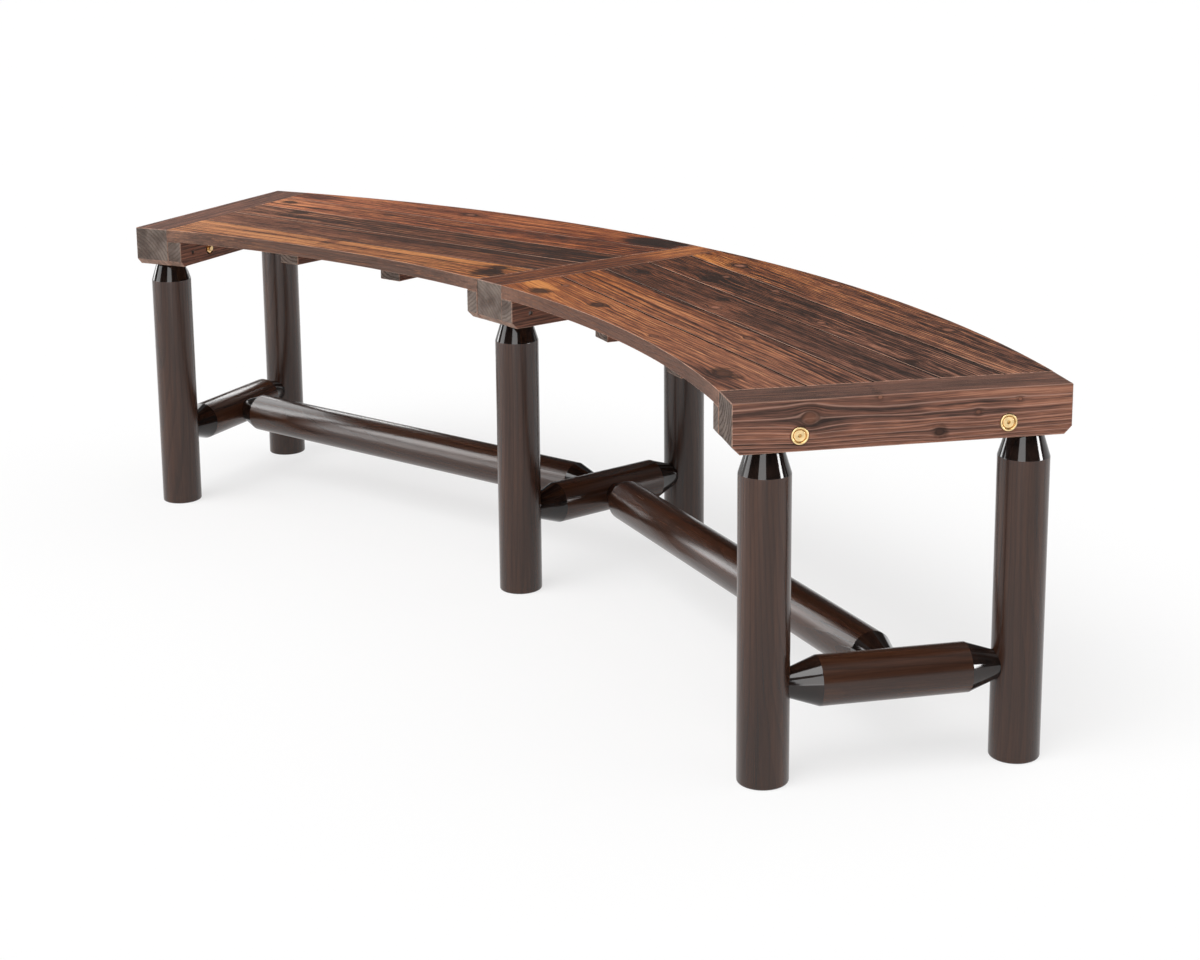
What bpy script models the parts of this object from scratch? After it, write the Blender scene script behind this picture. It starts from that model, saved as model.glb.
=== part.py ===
"""Curved backless garden bench of heat-treated softwood, with a seat height of 450 mm.

The seat is a sector of a ring whose centre lies in front of the bench. Three radial rails carry it,
one in the middle and one at each end, and each rail stands on two turned legs. Slats fill the two
halves between the rails. They rest on cleats beside the rails, and battens join them underneath.
A cross stretcher ties the two legs of each rail, and long stretchers tie the cross stretchers.

Lengths are in metres and +Z is up. The hollow side of the curve faces -Y, and the origin is on the
ground in the middle of the bench.
"""

import math

import bmesh
import bpy

# Seat: the front edge is an arc about the ring's centre, and HALF_ANGLE is what one half covers.
SEAT_HEIGHT = 0.450
INNER_RADIUS = 1.495
SEAT_DEPTH = 0.393
HALF_ANGLE = math.radians(27.0)

# Slats of one half, counted from the front. They lie square to the half's middle line. The front
# arc leaves the first slat narrowest in its middle, and the back arc the last one at its ends. The
# slats between them share what is left.
SLATS_IN_HALF = 5
SLAT_THICKNESS = 0.018
SLAT_GAP = 0.003
FRONT_SLAT_LEAST_WIDTH = 0.0615
BACK_SLAT_LEAST_WIDTH = 0.055
SLAT_END_GAP = 0.0005
SLAT_EASING = 0.0015

# Rails and the cleats beside them. Their lower corners are cut off at both ends.
RAIL_THICKNESS = 0.058
RAIL_HEIGHT = 0.058
CLEAT_THICKNESS = 0.024
LOWER_CHAMFER = 0.009
BEAM_EASING = 0.001

# Battens under the slats, along the middle line of each half.
BATTEN_WIDTH = 0.038
BATTEN_THICKNESS = 0.018
BATTEN_FROM_MIDDLE_LINE = 0.105
BATTEN_END_INSET = 0.020

# Legs: a cone narrows each one below the rail, and a round tenon goes up into the rail.
LEG_DIAMETER = 0.060
LEG_INSET = 0.045
LEG_CONE_HEIGHT = 0.029
LEG_NECK_DIAMETER = 0.042
LEG_TENON_DIAMETER = 0.038
LEG_TENON_LENGTH = 0.040
FOOT_ROUNDING = 0.003
TENON_CHAMFER = 0.002

# Stretchers: a cone narrows each end down to its neck, at the surface of what it enters.
STRETCHER_DIAMETER = 0.058
STRETCHER_HEIGHT = 0.114
STRETCHER_CONE_LENGTH = 0.033
STRETCHER_NECK_DIAMETER = 0.035
STRETCHER_TENON_DIAMETER = 0.028
STRETCHER_TENON_FROM_AXIS = 0.007
LONG_STRETCHER_FROM_FRONT = 0.205

# Bolts through the end rails and their cleats, with a raised rim round the head's sunk floor.
BOLT_FROM_LEG = 0.031
BOLT_HEIGHT_SHARE = 0.45
BOLT_DIAMETER = 0.008
BOLT_HEAD_DIAMETER = 0.020
BOLT_HEAD_HEIGHT = 0.0040
BOLT_HEAD_FLOOR = 0.0024
BOLT_RIM_WIDTH = 0.0022
BOLT_EASING = 0.0005
BOLT_SINK_DEPTH = 0.0030
BOLT_SINK_CLEARANCE = 0.0007
SOCKET_WIDTH = 0.005
SOCKET_DEPTH = 0.0030
NUT_WIDTH = 0.013
NUT_THICKNESS = 0.0065
WASHER_DIAMETER = 0.017
WASHER_THICKNESS = 0.0015
NUT_RECESS_DIAMETER = 0.020
NUT_RECESS_DEPTH = 0.009

# Screws that lock the leg tenons, driven through the cleats beside each leg.
LOCK_SCREW_OFFSET_SHARE = 0.74
LOCK_SCREW_HEIGHT_SHARE = 0.48
LOCK_SCREW_DIAMETER = 0.0045
LOCK_SCREW_HEAD_DIAMETER = 0.0070
LOCK_SCREW_HEAD_HEIGHT = 0.0025
LOCK_SCREW_TIP_LENGTH = 0.004
LOCK_SCREW_SINK_DEPTH = 0.0020
LOCK_SCREW_FROM_RAIL_MIDDLE = 0.004

# Holes for countersunk wood screws, up through the cleats and battens into the slats.
SCREW_DIAMETER = 0.004
SCREW_HEAD_DIAMETER = 0.008
SCREW_HEAD_HEIGHT = 0.0025
SCREW_IN_SLAT = 0.010
CLEAT_SCREW_SLAT_SHARES = (0.5, 0.5, 0.5, 0.5, 0.25)
BATTEN_SCREW_SLAT_SHARE = 0.5

# Gap kept between touching pieces, the overrun of every cut, and the distance that welds points.
FIT = 0.0003
OVERRUN = 0.005
WELD = 0.00001

# Counts of faces round the turned pieces and along the arcs.
TURNED_STEPS = 22
BOLT_STEPS = 20
NUT_STEPS = 12
SCREW_STEPS = 6
ARC_STEPS = 10
FOOT_STEPS = 2
FLAT_ANGLE = math.radians(0.1)
SHARP_ANGLE = math.radians(30.0)
EASED_ANGLE = math.radians(50.0)
QUARTER_TURN = math.radians(90.0)

# Places that follow from the sizes above.
OUTER_RADIUS = INNER_RADIUS + SEAT_DEPTH
MIDDLE_ANGLE = HALF_ANGLE / 2
SLAT_BOTTOM = SEAT_HEIGHT - SLAT_THICKNESS
RAIL_BOTTOM = SEAT_HEIGHT - RAIL_HEIGHT
CLEAT_TOP = SLAT_BOTTOM - FIT
CLEAT_HEIGHT = CLEAT_TOP - RAIL_BOTTOM
CLEAT_MIDDLE = RAIL_THICKNESS / 2 + FIT + CLEAT_THICKNESS / 2
CLEAT_FACE = CLEAT_MIDDLE + CLEAT_THICKNESS / 2
BATTEN_BOTTOM = CLEAT_TOP - BATTEN_THICKNESS
LEG_FRONT = INNER_RADIUS + LEG_INSET
LEG_BACK = OUTER_RADIUS - LEG_INSET
BOLT_HEIGHT = RAIL_BOTTOM + BOLT_HEIGHT_SHARE * CLEAT_HEIGHT
LOCK_SCREW_HEIGHT = RAIL_BOTTOM + LOCK_SCREW_HEIGHT_SHARE * CLEAT_HEIGHT
LOCK_SCREW_OFFSET = LOCK_SCREW_OFFSET_SHARE * LEG_TENON_DIAMETER / 2
LONG_STRETCHER_RADIUS = INNER_RADIUS + LONG_STRETCHER_FROM_FRONT

SIDES = {"left": -1, "right": 1}
RAILS = {"left": -1, "centre": 0, "right": 1}

# Colours and roughness of the finishes. The five slats of a half differ as boards do.
SLAT_COLOURS = (
    (0.30, 0.135, 0.060),
    (0.24, 0.105, 0.052),
    (0.14, 0.070, 0.045),
    (0.17, 0.075, 0.042),
    (0.33, 0.140, 0.058),
)
RAIL_COLOUR = (0.16, 0.070, 0.042)
BATTEN_COLOUR = (0.20, 0.115, 0.080)
TURNED_COLOUR = (0.085, 0.052, 0.040)
BRASS_COLOUR = (0.78, 0.60, 0.30)
STEEL_COLOUR = (0.55, 0.53, 0.50)
WOOD_ROUGHNESS = 0.55
TURNED_ROUGHNESS = 0.35
METAL_ROUGHNESS = 0.30


def clear_scene():
    for old in list(bpy.data.objects):
        bpy.data.objects.remove(old)


def new_collection(name):
    made = bpy.data.collections.new(name)
    bpy.context.scene.collection.children.link(made)
    return made


def new_material(name, colour, roughness, metallic=0.0):
    material = bpy.data.materials.new(name)
    material.use_nodes = True
    shader = material.node_tree.nodes["Principled BSDF"]
    shader.inputs["Base Color"].default_value = (*colour, 1.0)
    shader.inputs["Roughness"].default_value = roughness
    shader.inputs["Metallic"].default_value = metallic
    return material


clear_scene()
BENCH = new_collection("curved_garden_bench")
CUTTERS = new_collection("cutters")


def new_frame(name, parent=None, location=(0, 0, 0), turn=0.0):
    """An empty that pieces are placed in, turned clockwise seen from above."""
    frame = bpy.data.objects.new(name, None)
    frame.parent = parent
    frame.location = location
    frame.rotation_euler = (0, 0, -turn)
    BENCH.objects.link(frame)
    return frame


def place(name, mesh, frame, location=(0, 0, 0), rotation=(0, 0, 0)):
    part = bpy.data.objects.new(name, mesh)
    part.parent = frame
    part.location = location
    part.rotation_euler = rotation
    BENCH.objects.link(part)
    return part


def place_cutter(name, mesh, frame, location=(0, 0, 0), rotation=(0, 0, 0)):
    cutter = bpy.data.objects.new(name, mesh)
    cutter.parent = frame
    cutter.location = location
    cutter.rotation_euler = rotation
    cutter.hide_render = True
    cutter.display_type = "WIRE"
    CUTTERS.objects.link(cutter)
    return cutter


def cut(part, *cutters):
    for cutter in cutters:
        modifier = part.modifiers.new(cutter.name, "BOOLEAN")
        modifier.operation = "DIFFERENCE"
        modifier.object = cutter


def ease_edges(part, width):
    modifier = part.modifiers.new("eased_edges", "BEVEL")
    modifier.width = width
    modifier.segments = 1
    modifier.limit_method = "ANGLE"
    modifier.angle_limit = EASED_ANGLE


def evaluated_mesh(shape):
    """The mesh of a helper object with its modifiers applied. The helper is removed."""
    bpy.context.scene.collection.objects.link(shape)
    graph = bpy.context.evaluated_depsgraph_get()
    mesh = bpy.data.meshes.new_from_object(shape.evaluated_get(graph))
    mesh.transform(shape.matrix_world)
    mesh.name = shape.name
    bpy.data.objects.remove(shape)
    return mesh


def outline_mesh(name, outlines, thickness):
    """A flat piece: its outline in the XY plane, and any holes as further outlines."""
    curve = bpy.data.curves.new(name, "CURVE")
    curve.dimensions = "2D"
    curve.fill_mode = "BOTH"
    curve.extrude = thickness / 2
    for outline in outlines:
        spline = curve.splines.new("POLY")
        spline.points.add(len(outline) - 1)
        spline.use_cyclic_u = True
        for point, (x, y) in zip(spline.points, outline):
            point.co = (x, y, 0, 1)
    mesh = evaluated_mesh(bpy.data.objects.new(name, curve))
    body = bmesh.new()
    body.from_mesh(mesh)
    bmesh.ops.remove_doubles(body, verts=body.verts, dist=WELD)
    if len(outlines) == 1:
        bmesh.ops.dissolve_limit(body, angle_limit=FLAT_ANGLE, verts=body.verts, edges=body.edges)
    bmesh.ops.recalc_face_normals(body, faces=body.faces)
    body.to_mesh(mesh)
    body.free()
    return mesh


def turned_mesh(name, profile, steps):
    """A turned piece about Z, from its profile of (radius, height) points, top to bottom."""
    line = bpy.data.meshes.new(name)
    points = [(radius, 0, height) for radius, height in profile]
    line.from_pydata(points, [(i, i + 1) for i in range(len(points) - 1)], [])
    shape = bpy.data.objects.new(name, line)
    screw = shape.modifiers.new("turned", "SCREW")
    screw.steps = steps
    screw.render_steps = steps
    screw.use_merge_vertices = True
    screw.merge_threshold = WELD
    mesh = evaluated_mesh(shape)
    mesh.shade_smooth()
    mesh.set_sharp_from_angle(angle=SHARP_ANGLE)
    return mesh


def circle(diameter, steps):
    turns = [2 * math.pi * step / steps for step in range(steps)]
    return [(diameter / 2 * math.cos(turn), diameter / 2 * math.sin(turn)) for turn in turns]


def hexagon(width):
    return circle(width / math.cos(math.pi / 6), 6)


# In a half's frame the ring's centre is the origin and +Y runs along the half's middle line.


def seat_arc(radius):
    """Points of the seat's edge between two rails, from left to right."""
    corner = MIDDLE_ANGLE - math.asin((RAIL_THICKNESS / 2 + SLAT_END_GAP) / radius)
    turns = [corner * (2 * step / ARC_STEPS - 1) for step in range(ARC_STEPS + 1)]
    return [(radius * math.sin(turn), radius * math.cos(turn)) for turn in turns]


def beside_rail(y, from_rail):
    """Distance from the middle line, at y along it, of a line that runs beside a rail."""
    return (y * math.sin(MIDDLE_ANGLE) - from_rail) / math.cos(MIDDLE_ANGLE)


def slat_edges(number):
    """Distances of an inner slat's front and back edge from the ring's centre."""
    front = INNER_RADIUS + FRONT_SLAT_LEAST_WIDTH
    back = seat_arc(OUTER_RADIUS)[0][1] - BACK_SLAT_LEAST_WIDTH
    pitch = (back - front - SLAT_GAP) / (SLATS_IN_HALF - 2)
    start = front + SLAT_GAP + (number - 2) * pitch
    return start, start + pitch - SLAT_GAP


def slat_edges_at(number, x):
    """Distances of a slat's front and back edge along the middle line, at x beside it."""
    front, back = slat_edges(number)
    if number == 1:
        front = math.sqrt(INNER_RADIUS**2 - x**2)
    if number == SLATS_IN_HALF:
        back = math.sqrt(OUTER_RADIUS**2 - x**2)
    return front, back


def straight_edge(y):
    end = beside_rail(y, RAIL_THICKNESS / 2 + SLAT_END_GAP)
    return [(-end, y), (end, y)]


def slat_outline(number):
    front, back = slat_edges(number)
    front_edge = seat_arc(INNER_RADIUS) if number == 1 else straight_edge(front)
    back_edge = seat_arc(OUTER_RADIUS) if number == SLATS_IN_HALF else straight_edge(back)
    return front_edge + back_edge[::-1]


def make_slats(half_frames):
    """The slats of both halves. The slats with the same number share a mesh."""
    slats = {side: [] for side in SIDES}
    for number in range(1, SLATS_IN_HALF + 1):
        mesh = outline_mesh(f"seat_slat_{number}", [slat_outline(number)], SLAT_THICKNESS)
        colour = SLAT_COLOURS[(number - 1) % len(SLAT_COLOURS)]
        mesh.materials.append(new_material(f"slat_{number}_wood", colour, WOOD_ROUGHNESS))
        for side in SIDES:
            middle = (0, 0, SEAT_HEIGHT - SLAT_THICKNESS / 2)
            slat = place(f"seat_slat_{side}_{number}", mesh, half_frames[side], middle)
            ease_edges(slat, SLAT_EASING)
            slats[side].append(slat)
    return slats


def make_battens(half_frames, wood):
    """Two battens under each half, square to its slats."""
    battens = {side: [] for side in SIDES}
    x = BATTEN_FROM_MIDDLE_LINE
    front = math.sqrt(INNER_RADIUS**2 - x**2) + BATTEN_END_INSET
    back = math.sqrt(OUTER_RADIUS**2 - x**2) - BATTEN_END_INSET
    half_width = BATTEN_WIDTH / 2
    corners = [(-half_width, front), (half_width, front), (half_width, back), (-half_width, back)]
    mesh = outline_mesh("batten", [corners], BATTEN_THICKNESS)
    mesh.materials.append(wood)
    for side, towards_end in SIDES.items():
        for where, sign in (("inner", -towards_end), ("outer", towards_end)):
            middle = (sign * x, 0, BATTEN_BOTTOM + BATTEN_THICKNESS / 2)
            batten = place(f"batten_{side}_{where}", mesh, half_frames[side], middle)
            ease_edges(batten, BEAM_EASING)
            battens[side].append(batten)
    return battens


# In a rail's frame the ring's centre is the origin and +Y runs along the rail.


def beam_outline(front, back, bottom, top):
    """Side view of a rail or cleat: Y of the frame runs across it and Z runs up it."""
    return [
        (front + LOWER_CHAMFER, bottom),
        (back - LOWER_CHAMFER, bottom),
        (back, bottom + LOWER_CHAMFER),
        (back, top),
        (front, top),
        (front, bottom + LOWER_CHAMFER),
    ]


def make_rails(rail_frames, wood):
    outline = beam_outline(INNER_RADIUS, OUTER_RADIUS, RAIL_BOTTOM, SEAT_HEIGHT)
    mesh = outline_mesh("rail", [outline], RAIL_THICKNESS)
    mesh.materials.append(wood)
    rails = {}
    for where, frame in rail_frames.items():
        name = "centre_rail" if where == "centre" else f"end_rail_{where}"
        rails[where] = place(name, mesh, frame, rotation=(QUARTER_TURN, 0, QUARTER_TURN))
        ease_edges(rails[where], BEAM_EASING)
    return rails


def make_cleats(rail_frames, wood):
    """A cleat beside each end rail and one on both sides of the centre rail, keyed by rail and side."""
    front = math.sqrt(INNER_RADIUS**2 - CLEAT_MIDDLE**2)
    back = math.sqrt(OUTER_RADIUS**2 - CLEAT_MIDDLE**2)
    outline = beam_outline(front, back, RAIL_BOTTOM, CLEAT_TOP)
    mesh = outline_mesh("cleat", [outline], CLEAT_THICKNESS)
    mesh.materials.append(wood)
    cleats = {}
    for side, sign in SIDES.items():
        for where, towards in (("centre", sign), (side, -sign)):
            name = f"centre_cleat_{side}" if where == "centre" else f"end_cleat_{side}"
            middle = (towards * CLEAT_MIDDLE, 0, 0)
            turn = (QUARTER_TURN, 0, QUARTER_TURN)
            cleat = place(name, mesh, rail_frames[where], middle, turn)
            ease_edges(cleat, BEAM_EASING)
            cleats[where, towards] = cleat
    return cleats


def leg_profile():
    radius = LEG_DIAMETER / 2
    neck = LEG_NECK_DIAMETER / 2
    tenon = LEG_TENON_DIAMETER / 2
    top = RAIL_BOTTOM + LEG_TENON_LENGTH
    shoulder = RAIL_BOTTOM - FIT
    turns = [QUARTER_TURN * step / FOOT_STEPS for step in range(FOOT_STEPS + 1)]
    foot = [
        (
            radius - FOOT_ROUNDING * (1 - math.cos(turn)),
            FOOT_ROUNDING * (1 - math.sin(turn)),
        )
        for turn in turns
    ]
    return [
        (0, top),
        (tenon - TENON_CHAMFER, top),
        (tenon, top - TENON_CHAMFER),
        (tenon, shoulder),
        (neck, shoulder),
        (radius, shoulder - LEG_CONE_HEIGHT),
        *foot,
        (0, 0),
    ]


def leg_mortise_profile():
    radius = LEG_TENON_DIAMETER / 2 + FIT
    top = RAIL_BOTTOM + LEG_TENON_LENGTH + FIT
    return [(0, top), (radius, top), (radius, RAIL_BOTTOM - OVERRUN), (0, RAIL_BOTTOM - OVERRUN)]


def make_legs(rail_frames, rails, wood):
    """A front and a back leg under each rail, their tenons in mortises in the rail."""
    mesh = turned_mesh("leg", leg_profile(), TURNED_STEPS)
    mesh.materials.append(wood)
    mortise = turned_mesh("leg_mortise", leg_mortise_profile(), TURNED_STEPS)
    legs = {}
    for where, frame in rail_frames.items():
        for row, y in (("front", LEG_FRONT), ("back", LEG_BACK)):
            legs[where, row] = place(f"leg_{row}_{where}", mesh, frame, (0, y, 0))
            cut(rails[where], place_cutter(f"leg_mortise_{row}_{where}", mortise, frame, (0, y, 0)))
    return legs


def stretcher_profiles(span, host_diameter):
    """Profiles of a stretcher between two hosts whose axes are a span apart, and of its mortises."""
    radius = STRETCHER_DIAMETER / 2
    neck = STRETCHER_NECK_DIAMETER / 2
    tenon = STRETCHER_TENON_DIAMETER / 2
    tip = span / 2 - STRETCHER_TENON_FROM_AXIS
    surface = span / 2 - host_diameter / 2
    ring = surface - STRETCHER_CONE_LENGTH
    cone_end = surface + STRETCHER_CONE_LENGTH * (neck - tenon) / (radius - neck)
    upper = [
        (0, tip),
        (tenon - TENON_CHAMFER, tip),
        (tenon, tip - TENON_CHAMFER),
        (tenon, cone_end),
        (radius, ring),
    ]
    mortise = [
        (0, tip + FIT),
        (tenon + FIT, tip + FIT),
        (tenon + FIT, cone_end),
        (radius + FIT, ring),
    ]
    return mirrored_profile(upper), mirrored_profile(mortise)


def mirrored_profile(upper):
    return upper + [(radius, -height) for radius, height in reversed(upper)]


def make_cross_stretchers(rail_frames, legs, wood):
    """A stretcher from the front leg to the back leg of each rail, its tenons in both."""
    span = LEG_BACK - LEG_FRONT
    profile, mortise_profile = stretcher_profiles(span, LEG_DIAMETER)
    mesh = turned_mesh("cross_stretcher", profile, TURNED_STEPS)
    mesh.materials.append(wood)
    mortises = turned_mesh("cross_stretcher_mortises", mortise_profile, TURNED_STEPS)
    middle = (0, (LEG_FRONT + LEG_BACK) / 2, STRETCHER_HEIGHT)
    along_rail = (-QUARTER_TURN, 0, 0)
    stretchers = {}
    for where, frame in rail_frames.items():
        stretchers[where] = place(f"cross_stretcher_{where}", mesh, frame, middle, along_rail)
        name = f"cross_stretcher_mortises_{where}"
        cutter = place_cutter(name, mortises, frame, middle, along_rail)
        cut(legs[where, "front"], cutter)
        cut(legs[where, "back"], cutter)
    return stretchers


def make_long_stretchers(half_frames, cross_stretchers, wood):
    """A stretcher in each half, from the centre cross stretcher to the one at the end."""
    span = 2 * LONG_STRETCHER_RADIUS * math.sin(MIDDLE_ANGLE)
    middle = (0, LONG_STRETCHER_RADIUS * math.cos(MIDDLE_ANGLE), STRETCHER_HEIGHT)
    along_slats = (0, QUARTER_TURN, 0)
    profile, mortise_profile = stretcher_profiles(span, STRETCHER_DIAMETER)
    mesh = turned_mesh("long_stretcher", profile, TURNED_STEPS)
    mesh.materials.append(wood)
    mortises = turned_mesh("long_stretcher_mortises", mortise_profile, TURNED_STEPS)
    for side, frame in half_frames.items():
        place(f"long_stretcher_{side}", mesh, frame, middle, along_slats)
        name = f"long_stretcher_mortises_{side}"
        cutter = place_cutter(name, mortises, frame, middle, along_slats)
        cut(cross_stretchers["centre"], cutter)
        cut(cross_stretchers[side], cutter)


# A bolt's own frame has its origin on the end rail's outer face, and +Z points out of the rail.

CLEAT_FACE_BELOW = CLEAT_FACE + RAIL_THICKNESS / 2
BOLT_SEAT = -BOLT_SINK_DEPTH + FIT
BOLT_FLOOR = BOLT_SEAT + BOLT_HEAD_FLOOR
WASHER_TOP = -CLEAT_FACE_BELOW + NUT_RECESS_DEPTH - FIT
NUT_TOP = WASHER_TOP - WASHER_THICKNESS - FIT


def bolt_profile():
    head = BOLT_HEAD_DIAMETER / 2
    rim = head - BOLT_RIM_WIDTH
    shank = BOLT_DIAMETER / 2
    top = BOLT_SEAT + BOLT_HEAD_HEIGHT
    end = NUT_TOP - NUT_THICKNESS
    return [
        (0, BOLT_FLOOR),
        (rim, BOLT_FLOOR),
        (rim, top - BOLT_EASING),
        (rim + BOLT_EASING, top),
        (head - BOLT_EASING, top),
        (head, top - BOLT_EASING),
        (head, BOLT_SEAT),
        (shank, BOLT_SEAT),
        (shank, end + BOLT_EASING),
        (shank - BOLT_EASING, end),
        (0, end),
    ]


def bolt_hole_profile():
    sink = BOLT_HEAD_DIAMETER / 2 + BOLT_SINK_CLEARANCE
    shank = BOLT_DIAMETER / 2 + FIT
    recess = NUT_RECESS_DIAMETER / 2
    floor = -CLEAT_FACE_BELOW + NUT_RECESS_DEPTH
    return [
        (0, OVERRUN),
        (sink, OVERRUN),
        (sink, -BOLT_SINK_DEPTH),
        (shank, -BOLT_SINK_DEPTH),
        (shank, floor),
        (recess, floor),
        (recess, -CLEAT_FACE_BELOW - OVERRUN),
        (0, -CLEAT_FACE_BELOW - OVERRUN),
    ]


def make_bolts(rail_frames, rails, cleats, brass, steel):
    """Two bolts through each end rail and its cleat, each with a washer and a nut."""
    bore = circle(BOLT_DIAMETER + 2 * FIT, NUT_STEPS)
    rim = circle(WASHER_DIAMETER, NUT_STEPS)
    bolt = turned_mesh("rail_bolt", bolt_profile(), BOLT_STEPS)
    washer = outline_mesh("rail_washer", [rim, bore], WASHER_THICKNESS)
    nut = outline_mesh("rail_nut", [hexagon(NUT_WIDTH), bore], NUT_THICKNESS)
    hole = turned_mesh("bolt_hole", bolt_hole_profile(), BOLT_STEPS)
    socket = outline_mesh("bolt_socket", [hexagon(SOCKET_WIDTH)], 2 * SOCKET_DEPTH)
    bolt.materials.append(brass)
    washer.materials.append(steel)
    nut.materials.append(brass)
    pieces = (
        ("rail_washer", washer, WASHER_TOP - WASHER_THICKNESS / 2),
        ("rail_nut", nut, NUT_TOP - NUT_THICKNESS / 2),
    )
    rows = (("front", LEG_FRONT + BOLT_FROM_LEG), ("back", LEG_BACK - BOLT_FROM_LEG))
    for side, sign in SIDES.items():
        frame = rail_frames[side]
        outward = (0, sign * QUARTER_TURN, 0)
        face = RAIL_THICKNESS / 2
        for row, y in rows:
            head = (sign * face, y, BOLT_HEIGHT)
            floor = (sign * (face + BOLT_FLOOR), y, BOLT_HEIGHT)
            placed = place(f"rail_bolt_{side}_{row}", bolt, frame, head, outward)
            cut(placed, place_cutter(f"bolt_socket_{side}_{row}", socket, frame, floor, outward))
            cutter = place_cutter(f"bolt_hole_{side}_{row}", hole, frame, head, outward)
            cut(rails[side], cutter)
            cut(cleats[side, -sign], cutter)
            for name, mesh, middle in pieces:
                spot = (sign * (face + middle), y, BOLT_HEIGHT)
                place(f"{name}_{side}_{row}", mesh, frame, spot, outward)


# A screw's own frame has its origin on the face that it enters.


def lock_screw_profiles():
    """Profiles of a screw that locks a leg's tenon, and of its hole. +Z points out of the cleat."""
    shank = LOCK_SCREW_DIAMETER / 2
    head = LOCK_SCREW_HEAD_DIAMETER / 2
    top = -LOCK_SCREW_SINK_DEPTH
    neck = top - LOCK_SCREW_HEAD_HEIGHT
    tip = LOCK_SCREW_FROM_RAIL_MIDDLE - CLEAT_FACE
    screw = [
        (0, top),
        (head, top),
        (head, neck),
        (shank, neck),
        (shank, tip + LOCK_SCREW_TIP_LENGTH),
        (0, tip),
    ]
    hole = [
        (0, OVERRUN),
        (head + FIT, OVERRUN),
        (head + FIT, neck - FIT),
        (shank + FIT, neck - FIT),
        (shank + FIT, tip - FIT),
        (0, tip - FIT),
    ]
    return screw, hole


def make_lock_screws(rail_frames, rails, cleats, legs, steel):
    """Screws through the cleats and the rail's wall into the tenons of the legs."""
    screw_profile, hole_profile = lock_screw_profiles()
    screw = turned_mesh("leg_lock_screw", screw_profile, SCREW_STEPS)
    screw.materials.append(steel)
    hole = turned_mesh("lock_screw_hole", hole_profile, SCREW_STEPS)
    rows = (("front", LEG_FRONT - LOCK_SCREW_OFFSET), ("back", LEG_BACK + LOCK_SCREW_OFFSET))
    for (where, towards), cleat in cleats.items():
        frame = rail_frames[where]
        outward = (0, towards * QUARTER_TURN, 0)
        own_side = "left" if towards < 0 else "right"
        rail_name = f"centre_{own_side}" if where == "centre" else where
        for row, y in rows:
            face = (towards * CLEAT_FACE, y, LOCK_SCREW_HEIGHT)
            name = f"{rail_name}_{row}"
            place(f"leg_lock_screw_{name}", screw, frame, face, outward)
            cutter = place_cutter(f"lock_screw_hole_{name}", hole, frame, face, outward)
            cut(cleat, cutter)
            cut(rails[where], cutter)
            cut(legs[where, row], cutter)


def screw_hole_profile(length):
    """Profile of the hole of a countersunk screw that goes up from the face below."""
    shank = SCREW_DIAMETER / 2 + FIT
    head = SCREW_HEAD_DIAMETER / 2 + FIT
    return [
        (0, length + FIT),
        (shank, length + FIT),
        (shank, SCREW_HEAD_HEIGHT + FIT),
        (head, FIT),
        (head, -OVERRUN),
        (0, -OVERRUN),
    ]


def cut_cleat_screw_holes(side, sign, frame, slats, cleats):
    """A hole up through a cleat into each end of each slat of a half."""
    length = SLAT_BOTTOM + SCREW_IN_SLAT - RAIL_BOTTOM
    hole = turned_mesh("cleat_screw_hole", screw_hole_profile(length), SCREW_STEPS)
    ends = (("inner", -sign, cleats["centre", sign]), ("outer", sign, cleats[side, -sign]))
    for number, share in enumerate(CLEAT_SCREW_SLAT_SHARES, start=1):
        start, end = slat_edges(number)
        front, back = slat_edges_at(number, beside_rail((start + end) / 2, CLEAT_MIDDLE))
        y = front + share * (back - front)
        for where, towards, cleat in ends:
            spot = (towards * beside_rail(y, CLEAT_MIDDLE), y, RAIL_BOTTOM)
            name = f"cleat_screw_hole_{side}_{where}_{number}"
            square_to_cleat = (0, 0, -towards * MIDDLE_ANGLE)
            cutter = place_cutter(name, hole, frame, spot, square_to_cleat)
            cut(cleat, cutter)
            cut(slats[side][number - 1], cutter)


def cut_batten_screw_holes(side, frame, slats, battens):
    """A hole up through each batten into each slat that it crosses."""
    length = SLAT_BOTTOM + SCREW_IN_SLAT - BATTEN_BOTTOM
    hole = turned_mesh("batten_screw_hole", screw_hole_profile(length), SCREW_STEPS)
    for batten in battens[side]:
        x = batten.location.x
        for number, slat in enumerate(slats[side], start=1):
            front, back = slat_edges_at(number, x)
            spot = (x, front + BATTEN_SCREW_SLAT_SHARE * (back - front), BATTEN_BOTTOM)
            cutter = place_cutter(f"{batten.name}_screw_hole_{number}", hole, frame, spot)
            cut(batten, cutter)
            cut(slat, cutter)


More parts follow.
